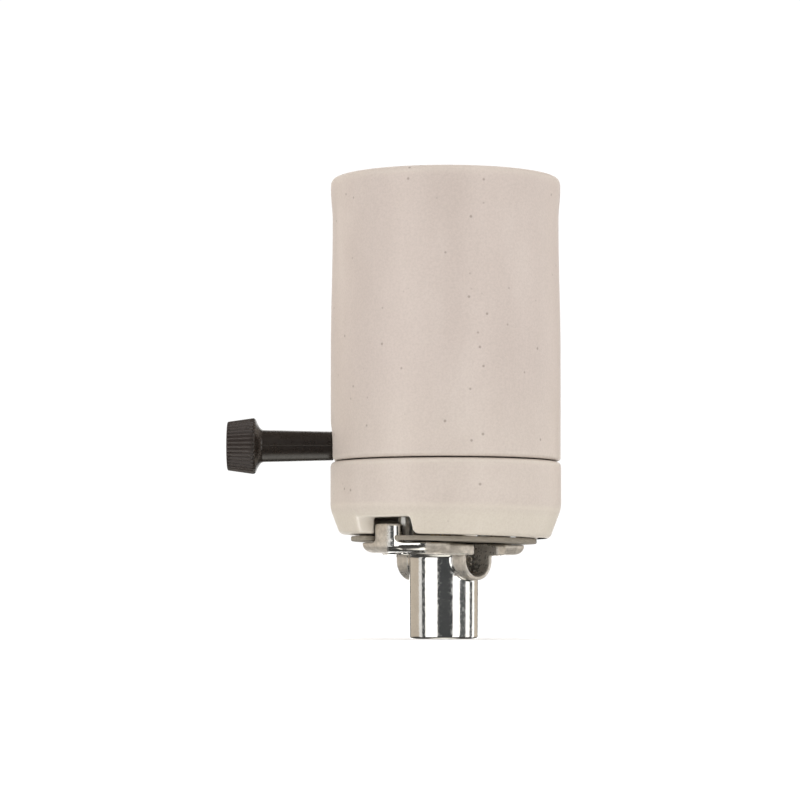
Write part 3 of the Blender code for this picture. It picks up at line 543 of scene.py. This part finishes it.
def bracket_field(x_fixed, y, z):
    """Hub on a boss, under a strap with two lugs and a trough, all bored and threaded along the axis."""
    x = x_fixed + SET_OVER
    z = z + STRAP_LEAN * x * smooth_step(STRAP_LEAN_STARTS, STRAP_LEAN_FULL, z)
    radius = np.hypot(x, y)
    along = (x - y) * DIAGONAL
    across = (x + y) * DIAGONAL

    hub = smooth_overlap(radius - HUB_RADIUS - z * HUB_DRAFT, -z, 0.7 * MM)
    hub = smooth_overlap(hub, z - STRAP_TOP + BOSS_TOP_DROP, 0.3 * MM)
    boss_height = np.maximum(BOSS_BOTTOM - z, z - STRAP_TOP + BOSS_TOP_DROP)
    boss = smooth_overlap(radius - BOSS_RADIUS, boss_height, 0.5 * MM)
    metal = smooth_union(hub, boss, 0.9 * MM)

    outline = smooth_overlap(radius - STRAP_END_RADIUS, np.abs(along) - STRAP_HALF_WIDTH, 1.6 * MM)
    strap = smooth_overlap(outline, STRAP_BOTTOM - z, 2.8 * MM)
    strap = smooth_overlap(strap, z - STRAP_TOP, 0.5 * MM)
    metal = smooth_union(metal, strap, 0.5 * MM)

    wall = np.maximum(radius - STRAP_END_RADIUS, STRAP_END_RADIUS - LUG_THICKNESS - radius)
    lug = smooth_overlap(wall, np.abs(sideways(x, y, LUG_DIRECTION)) - LUG_HALF_WIDTH, 1.3 * MM)
    lug = smooth_overlap(lug, np.maximum(LUG_BOTTOM - z, z - bracket_high.z), 0.7 * MM)
    metal = smooth_union(metal, lug, 0.8 * MM)

    trough = arch(across, z, TROUGH_CENTRE_Z, TROUGH_RADIUS)
    trough = smooth_overlap(trough, np.abs(along) - TROUGH_HALF_LENGTH, 0.4 * MM)
    trough = smooth_overlap(trough, z - STRAP_TOP + TROUGH_TOP_DROP, 0.3 * MM)
    metal = smooth_union(metal, trough, 0.5 * MM)

    channel = arch(across, z, TROUGH_CENTRE_Z, TROUGH_INNER_RADIUS)
    metal = smooth_cut(metal, channel, 0.35 * MM)
    metal = smooth_cut(metal, radius - thread_radius(x, y, z), 0.25 * MM)
    return drilled(metal, x_fixed, y, ASSEMBLY_SCREWS, SCREW_HOLE_RADIUS, 0.3 * MM)


def raw_metal(x, y, z):
    """How dull the casting is: the strap but for its polished front, the lugs, the trough and the bore."""
    x = x + SET_OVER
    radius = np.hypot(x, y)
    across = np.abs(x + y) * DIAGONAL
    high = smooth_step(BOSS_BOTTOM - 0.1 * MM, BOSS_BOTTOM + 0.4 * MM, z)
    polished = smooth_step(*POLISHED_FROM, x) * (1.0 - smooth_step(*POLISHED_TO, x)) * (y < 0.0)
    beyond_hub = smooth_step(HUB_RADIUS + 0.5 * MM, HUB_RADIUS + 1.2 * MM, radius)
    trough_outside = beyond_hub * (across < TROUGH_RADIUS + 0.4 * MM)
    bore = 1.0 - smooth_step(HUB_RADIUS - 0.9 * MM, HUB_RADIUS - 0.5 * MM, radius)
    above_channel = z > TROUGH_CENTRE_Z - TROUGH_INNER_RADIUS - 0.1 * MM
    channel = (across < TROUGH_INNER_RADIUS + 0.15 * MM) * above_channel
    dull_inside = np.maximum(0.45 * bore, 0.8 * channel * (1.0 - bore))
    low = (1.0 - high) * np.maximum(trough_outside, dull_inside)
    raw = np.clip(high * (1.0 - polished * (1.0 - channel)) + low, 0.0, 1.0)
    return (0.9 - 0.3 * channel) * raw


field_piece(
    "bracket_casting", bracket_field, (bracket_low, bracket_high), 0.27 * MM,
    CASTING, "lampholder", ["bottom_bracket"], {"raw": raw_metal},
)


# ---------------------------------------------------------------- fibre disc and its eyelets

DISC_RADIUS = disc_high.x
DISC_LEAN = 0.015
DISC_BORE_RADIUS = 7.0 * MM
LUG_GAP_HALF_WIDTH = 4.9 * MM
LUG_GAP_DEPTH_RADIUS = 17.7 * MM
EYELET_HOLE_RADIUS = 0.95 * MM
EYELET_BORE_RADIUS = 0.4 * MM
EYELET_BARREL_RADIUS = 0.75 * MM
EYELET_ROLL = 0.125 * MM


def disc_field(x, y, z):
    """A thin disc with a bore, a gap for each lug, and holes for screws and eyelets."""
    z = z + DISC_LEAN * x
    own_x = x + SET_OVER
    radius = np.hypot(own_x, y)
    height = np.maximum(disc_low.z - z, z - disc_high.z)
    disc = smooth_overlap(radius - DISC_RADIUS, height, 0.35 * MM)
    disc = smooth_cut(disc, radius - DISC_BORE_RADIUS, 0.3 * MM)
    lug_side = np.abs(sideways(own_x, y, LUG_DIRECTION)) - LUG_GAP_HALF_WIDTH
    disc = smooth_cut(disc, smooth_overlap(lug_side, LUG_GAP_DEPTH_RADIUS - radius, 0.6 * MM), 0.3 * MM)
    disc = drilled(disc, x, y, ASSEMBLY_SCREWS, SCREW_HOLE_RADIUS, 0.2 * MM)
    return drilled(disc, x, y, EYELETS, EYELET_HOLE_RADIUS, 0.1 * MM)


field_piece(
    "disc_of_fibre", disc_field, (disc_low, disc_high), 0.25 * MM,
    FIBRE, "lampholder", ["fibre_disc"],
)


def eyelet(name):
    """An eyelet with a rolled rim."""
    low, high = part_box(name)
    middle = (low + high) / 2
    rim = high.x - middle.x
    neck_z = high.z - 2 * EYELET_ROLL
    profile = [(EYELET_BORE_RADIUS, low.z), (EYELET_BARREL_RADIUS, low.z), (EYELET_BARREL_RADIUS, neck_z)]
    profile += arc((rim - EYELET_ROLL, high.z - EYELET_ROLL), EYELET_ROLL, -90, 90, 8)
    profile += arc((EYELET_BORE_RADIUS + 2 * EYELET_ROLL, neck_z), 2 * EYELET_ROLL, 90, 180, 5)
    points, faces = ring_grid([ring(radius, height, 32) for radius, height in profile], closed=True)
    points = points + np.array((middle.x, middle.y, 0.0))
    add_piece(f"{name}_rolled", points, faces, BRASS, "lampholder", [name])


for eyelet_name in EYELETS:
    eyelet(eyelet_name)


# ---------------------------------------------------------------- porcelain

FOOT_RADIUS = 26.0 * MM
FOOT_Z = base_low.z - 0.3 * MM
CHAMFER_Z = 32.2 * MM
BASE_WEB_BOTTOM = 29.7 * MM
BASE_WEB_TOP = 37.0 * MM
BODY_WEB_BOTTOM = 56.0 * MM
BODY_WEB_TOP = 64.0 * MM
RECESS_RADIUS = 20.5 * MM
CHAMBER_RADIUS = 21.5 * MM
SOCKET_RADIUS = 21.2 * MM
LUG_NOTCH_DIRECTION = (-math.sin(math.radians(35.2)), -math.cos(math.radians(35.2)))
LUG_NOTCH_HALF_WIDTH = 7.8 * MM
LUG_NOTCH_DEPTH_RADIUS = 16.5 * MM
TERMINAL_HOLE_RADIUS = 1.9 * MM
FRAME_HOLE_RADIUS = 1.6 * MM
FRAME_HOLE_BOTTOM = 32.0 * MM
FRAME_HOLE_TOP = 60.0 * MM
SPINDLE_NOTCH_RADIUS = 4.5 * MM
SPINDLE_NOTCH_END_X = 18 * MM
SINK_RADIUS = 4.2 * MM
SINK_BOTTOM = 60.5 * MM
SINK_TOP = 80 * MM
SHELL_SCREW_HOLE_RADIUS = 1.8 * MM
RIVET_HOLE_RADIUS = 1.7 * MM

# As photographed, the foot leans and is set over. The lean fades out between two heights.
FOOT_SHIFT = 0.25 * MM
FOOT_LEAN = 0.022
FOOT_LEAN_FULL = 30 * MM
FOOT_LEAN_ENDS = 43 * MM

# The barrel's radius at its foot, and how much it changes between two heights.
BARREL_RADIUS = 28.5 * MM
BARREL_CHANGES = [
    (0.07 * MM, 46 * MM, 60 * MM),
    (-0.42 * MM, 72 * MM, 102 * MM),
    (0.45 * MM, 104 * MM, 111.5 * MM),
]


def foot_height(x, z):
    """Height as the leaning foot has it."""
    return z + FOOT_LEAN * x * (1.0 - smooth_step(FOOT_LEAN_FULL, FOOT_LEAN_ENDS, z))


def base_field(x, y, z):
    """A low cup with a chamfered foot, hollow on both sides of its web, with two notches for the lugs."""
    leaning = foot_height(x, z)
    radius = np.hypot(x, y)
    rise = CHAMFER_Z - FOOT_Z
    run = OUTER_RADIUS - FOOT_RADIUS
    slope = math.hypot(rise, run)
    cone = ((np.hypot(x + FOOT_SHIFT, y) - FOOT_RADIUS) * rise - (leaning - FOOT_Z) * run) / slope
    clay = smooth_overlap(radius - OUTER_RADIUS, cone, 0.5 * MM)
    clay = smooth_overlap(clay, FOOT_Z - leaning, 1.1 * MM)
    clay = smooth_overlap(clay, z - base_high.z, 1.3 * MM)
    recess = smooth_overlap(radius - RECESS_RADIUS, z - BASE_WEB_BOTTOM, 0.8 * MM)
    clay = smooth_cut(clay, recess, 0.6 * MM)
    chamber = smooth_overlap(radius - CHAMBER_RADIUS, BASE_WEB_TOP - z, 0.8 * MM)
    clay = smooth_cut(clay, chamber, 0.8 * MM)
    notch_side = np.abs(sideways(x, y, LUG_NOTCH_DIRECTION)) - LUG_NOTCH_HALF_WIDTH
    notch = smooth_overlap(notch_side, z - BASE_WEB_BOTTOM, 1.0 * MM)
    notch = smooth_overlap(notch, LUG_NOTCH_DEPTH_RADIUS - radius, 0.8 * MM)
    clay = smooth_cut(clay, notch, 0.7 * MM)
    clay = drilled(clay, x, y, ASSEMBLY_SCREWS, SCREW_HOLE_RADIUS, 0.3 * MM)
    clay = drilled(clay, x, y, TERMINAL_SCREWS, TERMINAL_HOLE_RADIUS, 0.3 * MM)
    for screw in FRAME_SCREWS:
        hole = upright_cylinder(
            x, y, z, screw, FRAME_HOLE_RADIUS, FRAME_HOLE_BOTTOM, FRAME_HOLE_TOP, 0.3 * MM
        )
        clay = smooth_cut(clay, hole, 0.3 * MM)
    return clay


def barrel_radius(z):
    """The barrel's outside: almost straight, drawn in a little below the lip."""
    radius = BARREL_RADIUS
    for change, start, end in BARREL_CHANGES:
        radius = radius + change * smooth_step(start, end, z)
    return radius


def body_field(x, y, z):
    """The barrel: a socket above its web, the switch chamber below, and a notch for the spindle."""
    radius = np.hypot(x, y)
    clay = smooth_overlap(radius - barrel_radius(z), body_low.z - z, 0.7 * MM)
    clay = smooth_overlap(clay, z - body_high.z, 2.0 * MM)
    socket = smooth_overlap(radius - SOCKET_RADIUS, BODY_WEB_TOP - z, 0.8 * MM)
    clay = smooth_cut(clay, socket, 1.6 * MM)
    chamber = smooth_overlap(radius - CHAMBER_RADIUS, z - BODY_WEB_BOTTOM, 0.8 * MM)
    clay = smooth_cut(clay, chamber, 0.8 * MM)
    notch = arch(y, 2 * SWITCH_Z - z, SWITCH_Z, SPINDLE_NOTCH_RADIUS)
    notch = smooth_overlap(notch, x + SPINDLE_NOTCH_END_X, 0.5 * MM)
    clay = smooth_cut(clay, notch, 1.5 * MM)
    clay = drilled(clay, x, y, ASSEMBLY_SCREWS, SCREW_HOLE_RADIUS, 0.3 * MM)
    for screw in ASSEMBLY_SCREWS:
        sink = upright_cylinder(x, y, z, screw, SINK_RADIUS, SINK_BOTTOM, SINK_TOP, 0.3 * MM)
        clay = smooth_cut(clay, sink, 0.4 * MM)
    clay = drilled(clay, x, y, SHELL_SCREWS, SHELL_SCREW_HOLE_RADIUS, 0.3 * MM)
    return drilled(clay, x, y, ["contact_rivet"], RIVET_HOLE_RADIUS, 0.3 * MM)


def base_notch_lit(x, y, z):
    """1 on the walls and ceiling of the lug notches, where painted light makes the clay near white for the
    light they catch.
    """
    lateral = np.abs(sideways(x, y, LUG_NOTCH_DIRECTION))
    wall = 1.0 - smooth_step(LUG_NOTCH_HALF_WIDTH - 0.1 * MM, LUG_NOTCH_HALF_WIDTH + 0.5 * MM, lateral)
    low = 1.0 - smooth_step(BASE_WEB_BOTTOM - 0.3 * MM, BASE_WEB_BOTTOM + 0.4 * MM, z)
    return wall * low * smooth_step(20 * MM, 21 * MM, np.hypot(x, y))


def base_cream_and_painted_light(x, y, z):
    """The foot is cream, and the side above the chamfer a quarter as much: the clay's own yellower tint,
    made lighter as painted light because the foot faces down and gets less light.
    """
    return 1.0 - 0.75 * smooth_step(CHAMFER_Z - 3 * MM, CHAMFER_Z + 1.5 * MM, z)


def chamfer_highlight(x, y, z):
    """A painted highlight line where the chamfer meets the side."""
    line = np.exp(-(((foot_height(x, z) - CHAMFER_Z) / (0.55 * MM)) ** 2))
    return line * smooth_step(OUTER_RADIUS - 0.8 * MM, OUTER_RADIUS - 0.3 * MM, np.hypot(x, y))


def body_cream(x, y, z):
    """A little cream low on the barrel, and less on its lip."""
    lip = smooth_step(body_high.z - 3 * MM, body_high.z, z)
    return 0.2 * (1.0 - smooth_step(45 * MM, 70 * MM, z)) + 0.1 * lip


# The base's layers carry painted light: near-white notch walls, a lightened foot and a highlight line at
# the chamfer.
field_piece(
    "base_of_porcelain", base_field, (base_low, base_high), 0.40 * MM,
    PORCELAIN, "lampholder", ["lower_base"],
    {"notch_lit": base_notch_lit, "cream_and_painted_light": base_cream_and_painted_light, "edge": chamfer_highlight},
)
field_piece(
    "body_of_porcelain", body_field, (body_low, body_high), 0.60 * MM,
    PORCELAIN, "lampholder", ["upper_body"], {"cream_and_painted_light": body_cream},
)


# ---------------------------------------------------------------- knob

FLUTES = 38
POINTS_PER_FLUTE = 8
FLUTE_DEPTH = 0.42 * MM
HEAD_LENGTH = 7.05 * MM
HEAD_RADIUS = 6.1 * MM
FLARE_RADIUS = (knob_high.z - knob_low.z) / 2
FACE_EDGE = 0.35 * MM
BACK_EDGE_LENGTH = 0.7 * MM
BACK_EDGE_DROP = 0.4 * MM
NECK_LENGTH = 2.0 * MM
STEM_RADIUS = 4.0 * MM
STEM_END_RADIUS = 3.6 * MM
BORE_RADIUS = 2.9 * MM
BORE_DEPTH = 12.0 * MM
FLASH_HEIGHT = 0.12 * MM

# The dimple in the knob's face, from near its centre outwards: (depth, radius).
FACE_DIMPLE = [
    (0.35 * MM, 0.4 * MM),
    (0.35 * MM, 2.6 * MM),
    (0.28 * MM, 3.0 * MM),
    (0.06 * MM, 3.4 * MM),
    (0.0, 3.8 * MM),
]


def knob_rings():
    """(x from the face, radius, flute depth) from the face's centre, over the outside, into the bore."""
    rings = [(depth, radius, 0.0) for depth, radius in FACE_DIMPLE]
    rings.append((0.0, HEAD_RADIUS - FACE_EDGE - 0.3 * MM, 0.0))
    for share in np.linspace(0.15, 1.0, 6):
        turn = share * math.pi / 2
        radius = HEAD_RADIUS - FACE_EDGE + FACE_EDGE * math.sin(turn)
        rings.append((FACE_EDGE * (1.0 - math.cos(turn)), radius, FLUTE_DEPTH * share))
    side_end = HEAD_LENGTH - BACK_EDGE_LENGTH
    for share in np.linspace(0.1, 1.0, 9):
        x = FACE_EDGE + (side_end - FACE_EDGE) * share
        rings.append((x, HEAD_RADIUS + (FLARE_RADIUS - HEAD_RADIUS) * share, FLUTE_DEPTH))
    for share in np.linspace(0.2, 1.0, 5):
        x = side_end + BACK_EDGE_LENGTH * share
        drop = BACK_EDGE_DROP * share * share
        rings.append((x, FLARE_RADIUS - drop, FLUTE_DEPTH * (1.0 - share)))
    shoulder = FLARE_RADIUS - BACK_EDGE_DROP
    for share in np.linspace(0.08, 1.0, 10):
        radius = STEM_RADIUS + (shoulder - STEM_RADIUS) * (1.0 - share) ** 2.2
        rings.append((HEAD_LENGTH + NECK_LENGTH * share, radius, 0.0))
    length = knob_high.x - knob_low.x
    neck_end = HEAD_LENGTH + NECK_LENGTH
    for share in np.linspace(0.05, 1.0, 16):
        x = neck_end + (length - 0.3 * MM - neck_end) * share
        rings.append((x, STEM_RADIUS + (STEM_END_RADIUS - STEM_RADIUS) * share, 0.0))
    rings.append((length - 0.1 * MM, STEM_END_RADIUS - 0.08 * MM, 0.0))
    rings.append((length, STEM_END_RADIUS - 0.3 * MM, 0.0))
    rings.append((length, BORE_RADIUS + 0.1 * MM, 0.0))
    rings.append((length - 0.1 * MM, BORE_RADIUS, 0.0))
    rings.append((length - BORE_DEPTH, BORE_RADIUS, 0.0))
    rings.append((length - BORE_DEPTH, 0.4 * MM, 0.0))
    return rings


def knob():
    """Fluted head, waisted neck and long stem, with the mould's parting line on both sides."""
    around = FLUTES * POINTS_PER_FLUTE
    angles = np.arange(around) * TAU / around
    groove = (0.5 - 0.5 * np.cos(angles * FLUTES)) ** 0.7
    parting = np.maximum(0.0, 1.0 - np.abs(np.sin(angles)) / 0.045)
    rows = []
    for x, radius, depth in knob_rings():
        plain_outside = depth == 0.0 and x > 0.5 * MM and STEM_END_RADIUS < radius + 0.5 * MM
        flash = FLASH_HEIGHT if plain_outside else 0.0
        wall = radius - depth * (1.0 - groove) + flash * parting
        places = [np.full(around, knob_low.x + x), wall * np.cos(angles), SWITCH_Z + wall * np.sin(angles)]
        rows.append(np.stack(places, axis=1))
    points, faces = ring_grid(rows, closed=False)
    points, faces = capped(points, faces, around)
    piece = add_piece("knob_moulding", points, faces, PHENOLIC, "switch_rotor", ["knob"])
    paint(piece, "worn", smooth_step(0.3 * MM, 1.0 * MM, HEAD_LENGTH - points[:, 0] + knob_low.x))
    piece.data.set_sharp_from_angle(angle=math.radians(40.0))


knob()


# ---------------------------------------------------------------- lamp shell and its screws

SHELL_PITCH = 6.35 * MM
SHELL_RADIUS = 19.25 * MM
SHELL_DEPTH = 0.65 * MM
SHELL_WALL = 0.7 * MM
SHELL_FLOOR = 0.8 * MM
SHELL_FLOOR_RADIUS = SHELL_RADIUS - 0.6 * MM
SHELL_HOLE_RADIUS = 9.3 * MM
THREAD_FADE = 2 * MM
SCREW_HEAD_HEIGHT = 2.4 * MM
SLOT_HALF_WIDTH = 0.45 * MM


def shell():
    """Rolled brass shell: its wall is a wave that climbs one pitch a turn, its floor has a hole."""
    around = 120
    angles = np.arange(around) * TAU / around
    floor_top = shell_low.z + SHELL_FLOOR
    heights = np.linspace(floor_top + 0.6 * MM, shell_high.z - 0.2 * MM, 90)

    def wall(height, offset):
        fade = min(1.0, (height - floor_top) / THREAD_FADE, (shell_high.z - height) / THREAD_FADE)
        wave = np.cos(TAU * height / SHELL_PITCH - angles)
        return ring(SHELL_RADIUS + offset + SHELL_DEPTH * fade * wave, height, around)

    rows = [ring(SHELL_HOLE_RADIUS, shell_low.z, around), ring(SHELL_FLOOR_RADIUS, shell_low.z, around)]
    rows.append(ring(SHELL_FLOOR_RADIUS + SHELL_WALL * 0.9, floor_top - 0.3 * MM, around))
    rows += [wall(height, SHELL_WALL) for height in heights]
    rows += [wall(height, 0.0) for height in reversed(heights)]
    rows.append(ring(SHELL_FLOOR_RADIUS + 0.2 * MM, floor_top + 0.1 * MM, around))
    rows.append(ring(SHELL_FLOOR_RADIUS - 0.4 * MM, floor_top, around))
    rows.append(ring(SHELL_HOLE_RADIUS + 0.1 * MM, floor_top, around))
    points, faces = ring_grid(rows, closed=True)
    add_piece("shell_of_brass", points, faces, BRASS, "lampholder", ["screw_shell"])


shell()


def slotted_screw(node):
    """A pan-head steel screw with its head up, in the CAD screw's box."""
    low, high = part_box(node)
    middle = (low + high) / 2
    head_radius = (high.x - low.x) / 2
    head_height = min(SCREW_HEAD_HEIGHT, 0.66 * head_radius)
    shank_radius = head_radius * 0.53
    seat = high.z - head_height

    def field(x, y, z):
        side = np.hypot(x - middle.x, y - middle.y)
        head = smooth_overlap(side - head_radius, np.maximum(seat - z, z - high.z), 0.9 * MM)
        shank = smooth_overlap(side - shank_radius, np.maximum(low.z - z, z - seat - 0.5 * MM), 0.4 * MM)
        cleft = np.maximum(np.abs(y - middle.y) - SLOT_HALF_WIDTH, seat + head_height * 0.45 - z)
        return smooth_cut(np.minimum(head, shank), cleft, 0.12 * MM)

    field_piece(f"{node}_slotted", field, (low, high), 0.16 * MM, STEEL, "lampholder", [node])


for screw_name in SHELL_SCREWS:
    slotted_screw(screw_name)


# ---------------------------------------------------------------- pieces that keep their CAD shape


def dressed(material, *nodes):
    """CAD nodes that keep their shape and take a material."""
    for name in nodes:
        piece = frame["nodes"][name]
        if not piece.material_slots:
            raise RuntimeError(f"{name} has no material slot")
        for slot in piece.material_slots:
            slot.material = material


dressed(MICA, "shell_insulator")
dressed(PHENOLIC, "rotor")
dressed(BRONZE, "contact_leaf", "contact_leaf_tail", "detent_spring", "line_contact", "load_contact")
dressed(
    BRASS, "contact_button", "contact_rivet", "knob_insert", "neutral_strap", "line_terminal",
    "neutral_terminal", "rotor_blade", "shell_nut_plate",
)
dressed(
    STEEL, *ASSEMBLY_SCREWS, *FRAME_SCREWS, *TERMINAL_SCREWS,
    "detent_wheel", "spindle_clip", "switch_frame", "switch_spindle",
)


# ---------------------------------------------------------------- stage, lights and camera

FLOOR_REACH = 1.3
FLOOR_DROP = 0.05 * MM

# (start, end, brightness) in degrees from straight in front, towards +X.
CARDS = [
    (-22, 30, 0.085),
    (30, 54, 2.4),
    (54, 78, 0.15),
    (78, 96, 2.0),
    (96, 110, 0.11),
    (110, 122, 1.9),
    (150, 160, 0.12),
    (160, 201, 2.0),
    (201, 212, 0.12),
    (268, 282, 1.1),
    (282, 296, 0.09),
    (296, 338, 2.4),
]
CARD_DISTANCE = 1.7
CARD_LOW = -0.7
CARD_HIGH = 1.6
CARD_FACES = 6
WARM_TINT = (1.0, 0.985, 0.96)
COOL_TINT = (0.94, 0.98, 1.0)
WARM_ABOVE = 0.5

# What polished pieces see, from straight below to straight above: (position, colour).
ROOM = [
    (0.00, (2.2, 2.15, 2.0)),
    (0.03, (1.6, 1.55, 1.4)),
    (0.06, (0.16, 0.15, 0.14)),
    (0.14, (0.07, 0.07, 0.065)),
    (0.36, (0.09, 0.085, 0.08)),
    (0.44, (0.62, 0.54, 0.44)),
    (0.50, (0.70, 0.61, 0.50)),
    (0.72, (0.66, 0.58, 0.48)),
    (0.86, (0.20, 0.18, 0.15)),
]

# (name, place, what it faces, width and height, watts, colour)
LIGHTS = [
    ("overhead", (0.0, -0.2, 1.8), (0.0, 0.0, 0.05), (2.4, 2.4), 15.0, (1.0, 1.0, 1.0)),
    ("front_left", (-0.85, -1.1, 0.28), (0.0, 0.0, 0.04), (0.8, 1.0), 1.4, (1.0, 1.0, 1.0)),
    ("front_right", (0.95, -1.0, 0.28), (0.0, 0.0, 0.04), (0.8, 1.0), 2.1, (1.0, 1.0, 1.0)),
    ("side_left", (-1.15, 0.96, 0.15), (0.0, 0.0, 0.04), (0.6, 1.0), 6.0, (1.0, 0.95, 0.80)),
    ("side_right", (1.15, 0.96, 0.15), (0.0, 0.0, 0.04), (0.6, 1.0), 4.2, (1.0, 0.98, 0.93)),
]

SENSOR_WIDTH = 36.0
LENS = 153.675
CAMERA_DISTANCE = 847 * MM
CAMERA_HEIGHT = 4 * MM
CAMERA_TILT = math.radians(3.731)
CAMERA_YAW = math.radians(0.768)


def emitter(name, colour, strength):
    """A material that only gives off light."""
    n = new_material(name)
    n.tree.nodes.clear()
    light = n.node("ShaderNodeEmission", {"Color": (*colour, 1.0), "Strength": strength})
    n.node("ShaderNodeOutputMaterial", {"Surface": light.outputs[0]})
    return n.owner


def floor():
    """A pale floor that runs out of sight."""
    mesh = bpy.data.meshes.new("floor")
    corners = [(x * FLOOR_REACH, y * FLOOR_REACH, 0.0) for x, y in ((-1, -1), (1, -1), (1, 1), (-1, 1))]
    mesh.from_pydata(corners, [], [(0, 1, 2, 3)])
    made = bpy.data.materials.new("pale_floor")
    made.use_nodes = True
    shader = made.node_tree.nodes["Principled BSDF"]
    shader.inputs["Base Color"].default_value = (0.95, 0.95, 0.95, 1.0)
    shader.inputs["Roughness"].default_value = 1.0
    shader.inputs["Specular IOR Level"].default_value = 0.0
    mesh.materials.append(made)
    obj = bpy.data.objects.new("floor", mesh)
    obj.location.z = min(0.0, bracket_low.z) - FLOOR_DROP
    bpy.context.collection.objects.link(obj)
    obj.visible_glossy = False


def reflection_cards():
    """Bright and dark cards round the object, which only reflections show."""
    for number, (start, end, brightness) in enumerate(CARDS):
        angles = np.radians(np.linspace(start, end, CARD_FACES + 1))
        points = []
        for height in (CARD_LOW, CARD_HIGH):
            points += [(CARD_DISTANCE * math.sin(a), -CARD_DISTANCE * math.cos(a), height) for a in angles]
        above = CARD_FACES + 1
        faces = [(i, i + 1, i + 1 + above, i + above) for i in range(CARD_FACES)]
        mesh = bpy.data.meshes.new(f"card_{number}")
        mesh.from_pydata(points, [], faces)
        tint = WARM_TINT if brightness > WARM_ABOVE else COOL_TINT
        mesh.materials.append(emitter(f"card_{number}", tint, brightness))
        card = bpy.data.objects.new(f"card_{number}", mesh)
        bpy.context.collection.objects.link(card)
        card.visible_camera = False
        card.visible_diffuse = False
        card.visible_shadow = False
        card.visible_transmission = False


def area_light(name, location, target, size, power, colour):
    """A rectangular light that faces a place, seen by no camera and in no reflection."""
    data = bpy.data.lights.new(name, "AREA")
    data.color = colour
    data.shape = "RECTANGLE"
    data.size, data.size_y = size
    data.energy = power
    light = bpy.data.objects.new(name, data)
    light.location = location
    light.rotation_euler = (Vector(target) - Vector(location)).to_track_quat("-Z", "Y").to_euler()
    bpy.context.collection.objects.link(light)
    light.visible_camera = False
    light.visible_glossy = False


def world():
    """The camera sees white and dull surfaces an off-white sky. Reflections show the room."""
    n = Nodes(bpy.data.worlds.new("surround"))
    bpy.context.scene.world = n.owner
    sky = n.tree.nodes["Background"]
    sky.inputs["Color"].default_value = (0.96, 0.945, 0.93, 1.0)
    upwards = n.node("ShaderNodeSeparateXYZ", {0: n.node("ShaderNodeTexCoord").outputs["Generated"]})
    half_and_half = {0: upwards.outputs["Z"], 1: 0.5, 2: 0.5}
    height = n.node("ShaderNodeMath", half_and_half, operation="MULTIPLY_ADD").outputs[0]
    room = n.node("ShaderNodeBackground", {"Color": n.ramp(height, *ROOM)})
    seen = n.node("ShaderNodeBackground", {"Color": (1.0, 1.0, 1.0, 1.0), "Strength": 1.05})
    rays = n.node("ShaderNodeLightPath").outputs
    unseen = n.mix_shaders(rays["Is Glossy Ray"], sky.outputs[0], room.outputs[0])
    chosen = n.mix_shaders(rays["Is Camera Ray"], unseen, seen.outputs[0])
    n.feed(n.tree.nodes["World Output"].inputs["Surface"], chosen)


def camera():
    """Far off with a long lens, level with the hub's foot, tilted up a little."""
    data = bpy.data.cameras.new("camera")
    data.sensor_width = SENSOR_WIDTH
    data.lens = LENS
    data.clip_start = 0.01
    data.clip_end = 100.0
    made = bpy.data.objects.new("camera", data)
    made.location = (0.0, -CAMERA_DISTANCE, CAMERA_HEIGHT)
    made.rotation_euler = (math.pi / 2 + CAMERA_TILT, 0.0, CAMERA_YAW)
    bpy.context.collection.objects.link(made)
    bpy.context.scene.camera = made


floor()
reflection_cards()
world()
for light_facts in LIGHTS:
    area_light(*light_facts)
camera()
bpy.context.scene.view_settings.view_transform = "Standard"
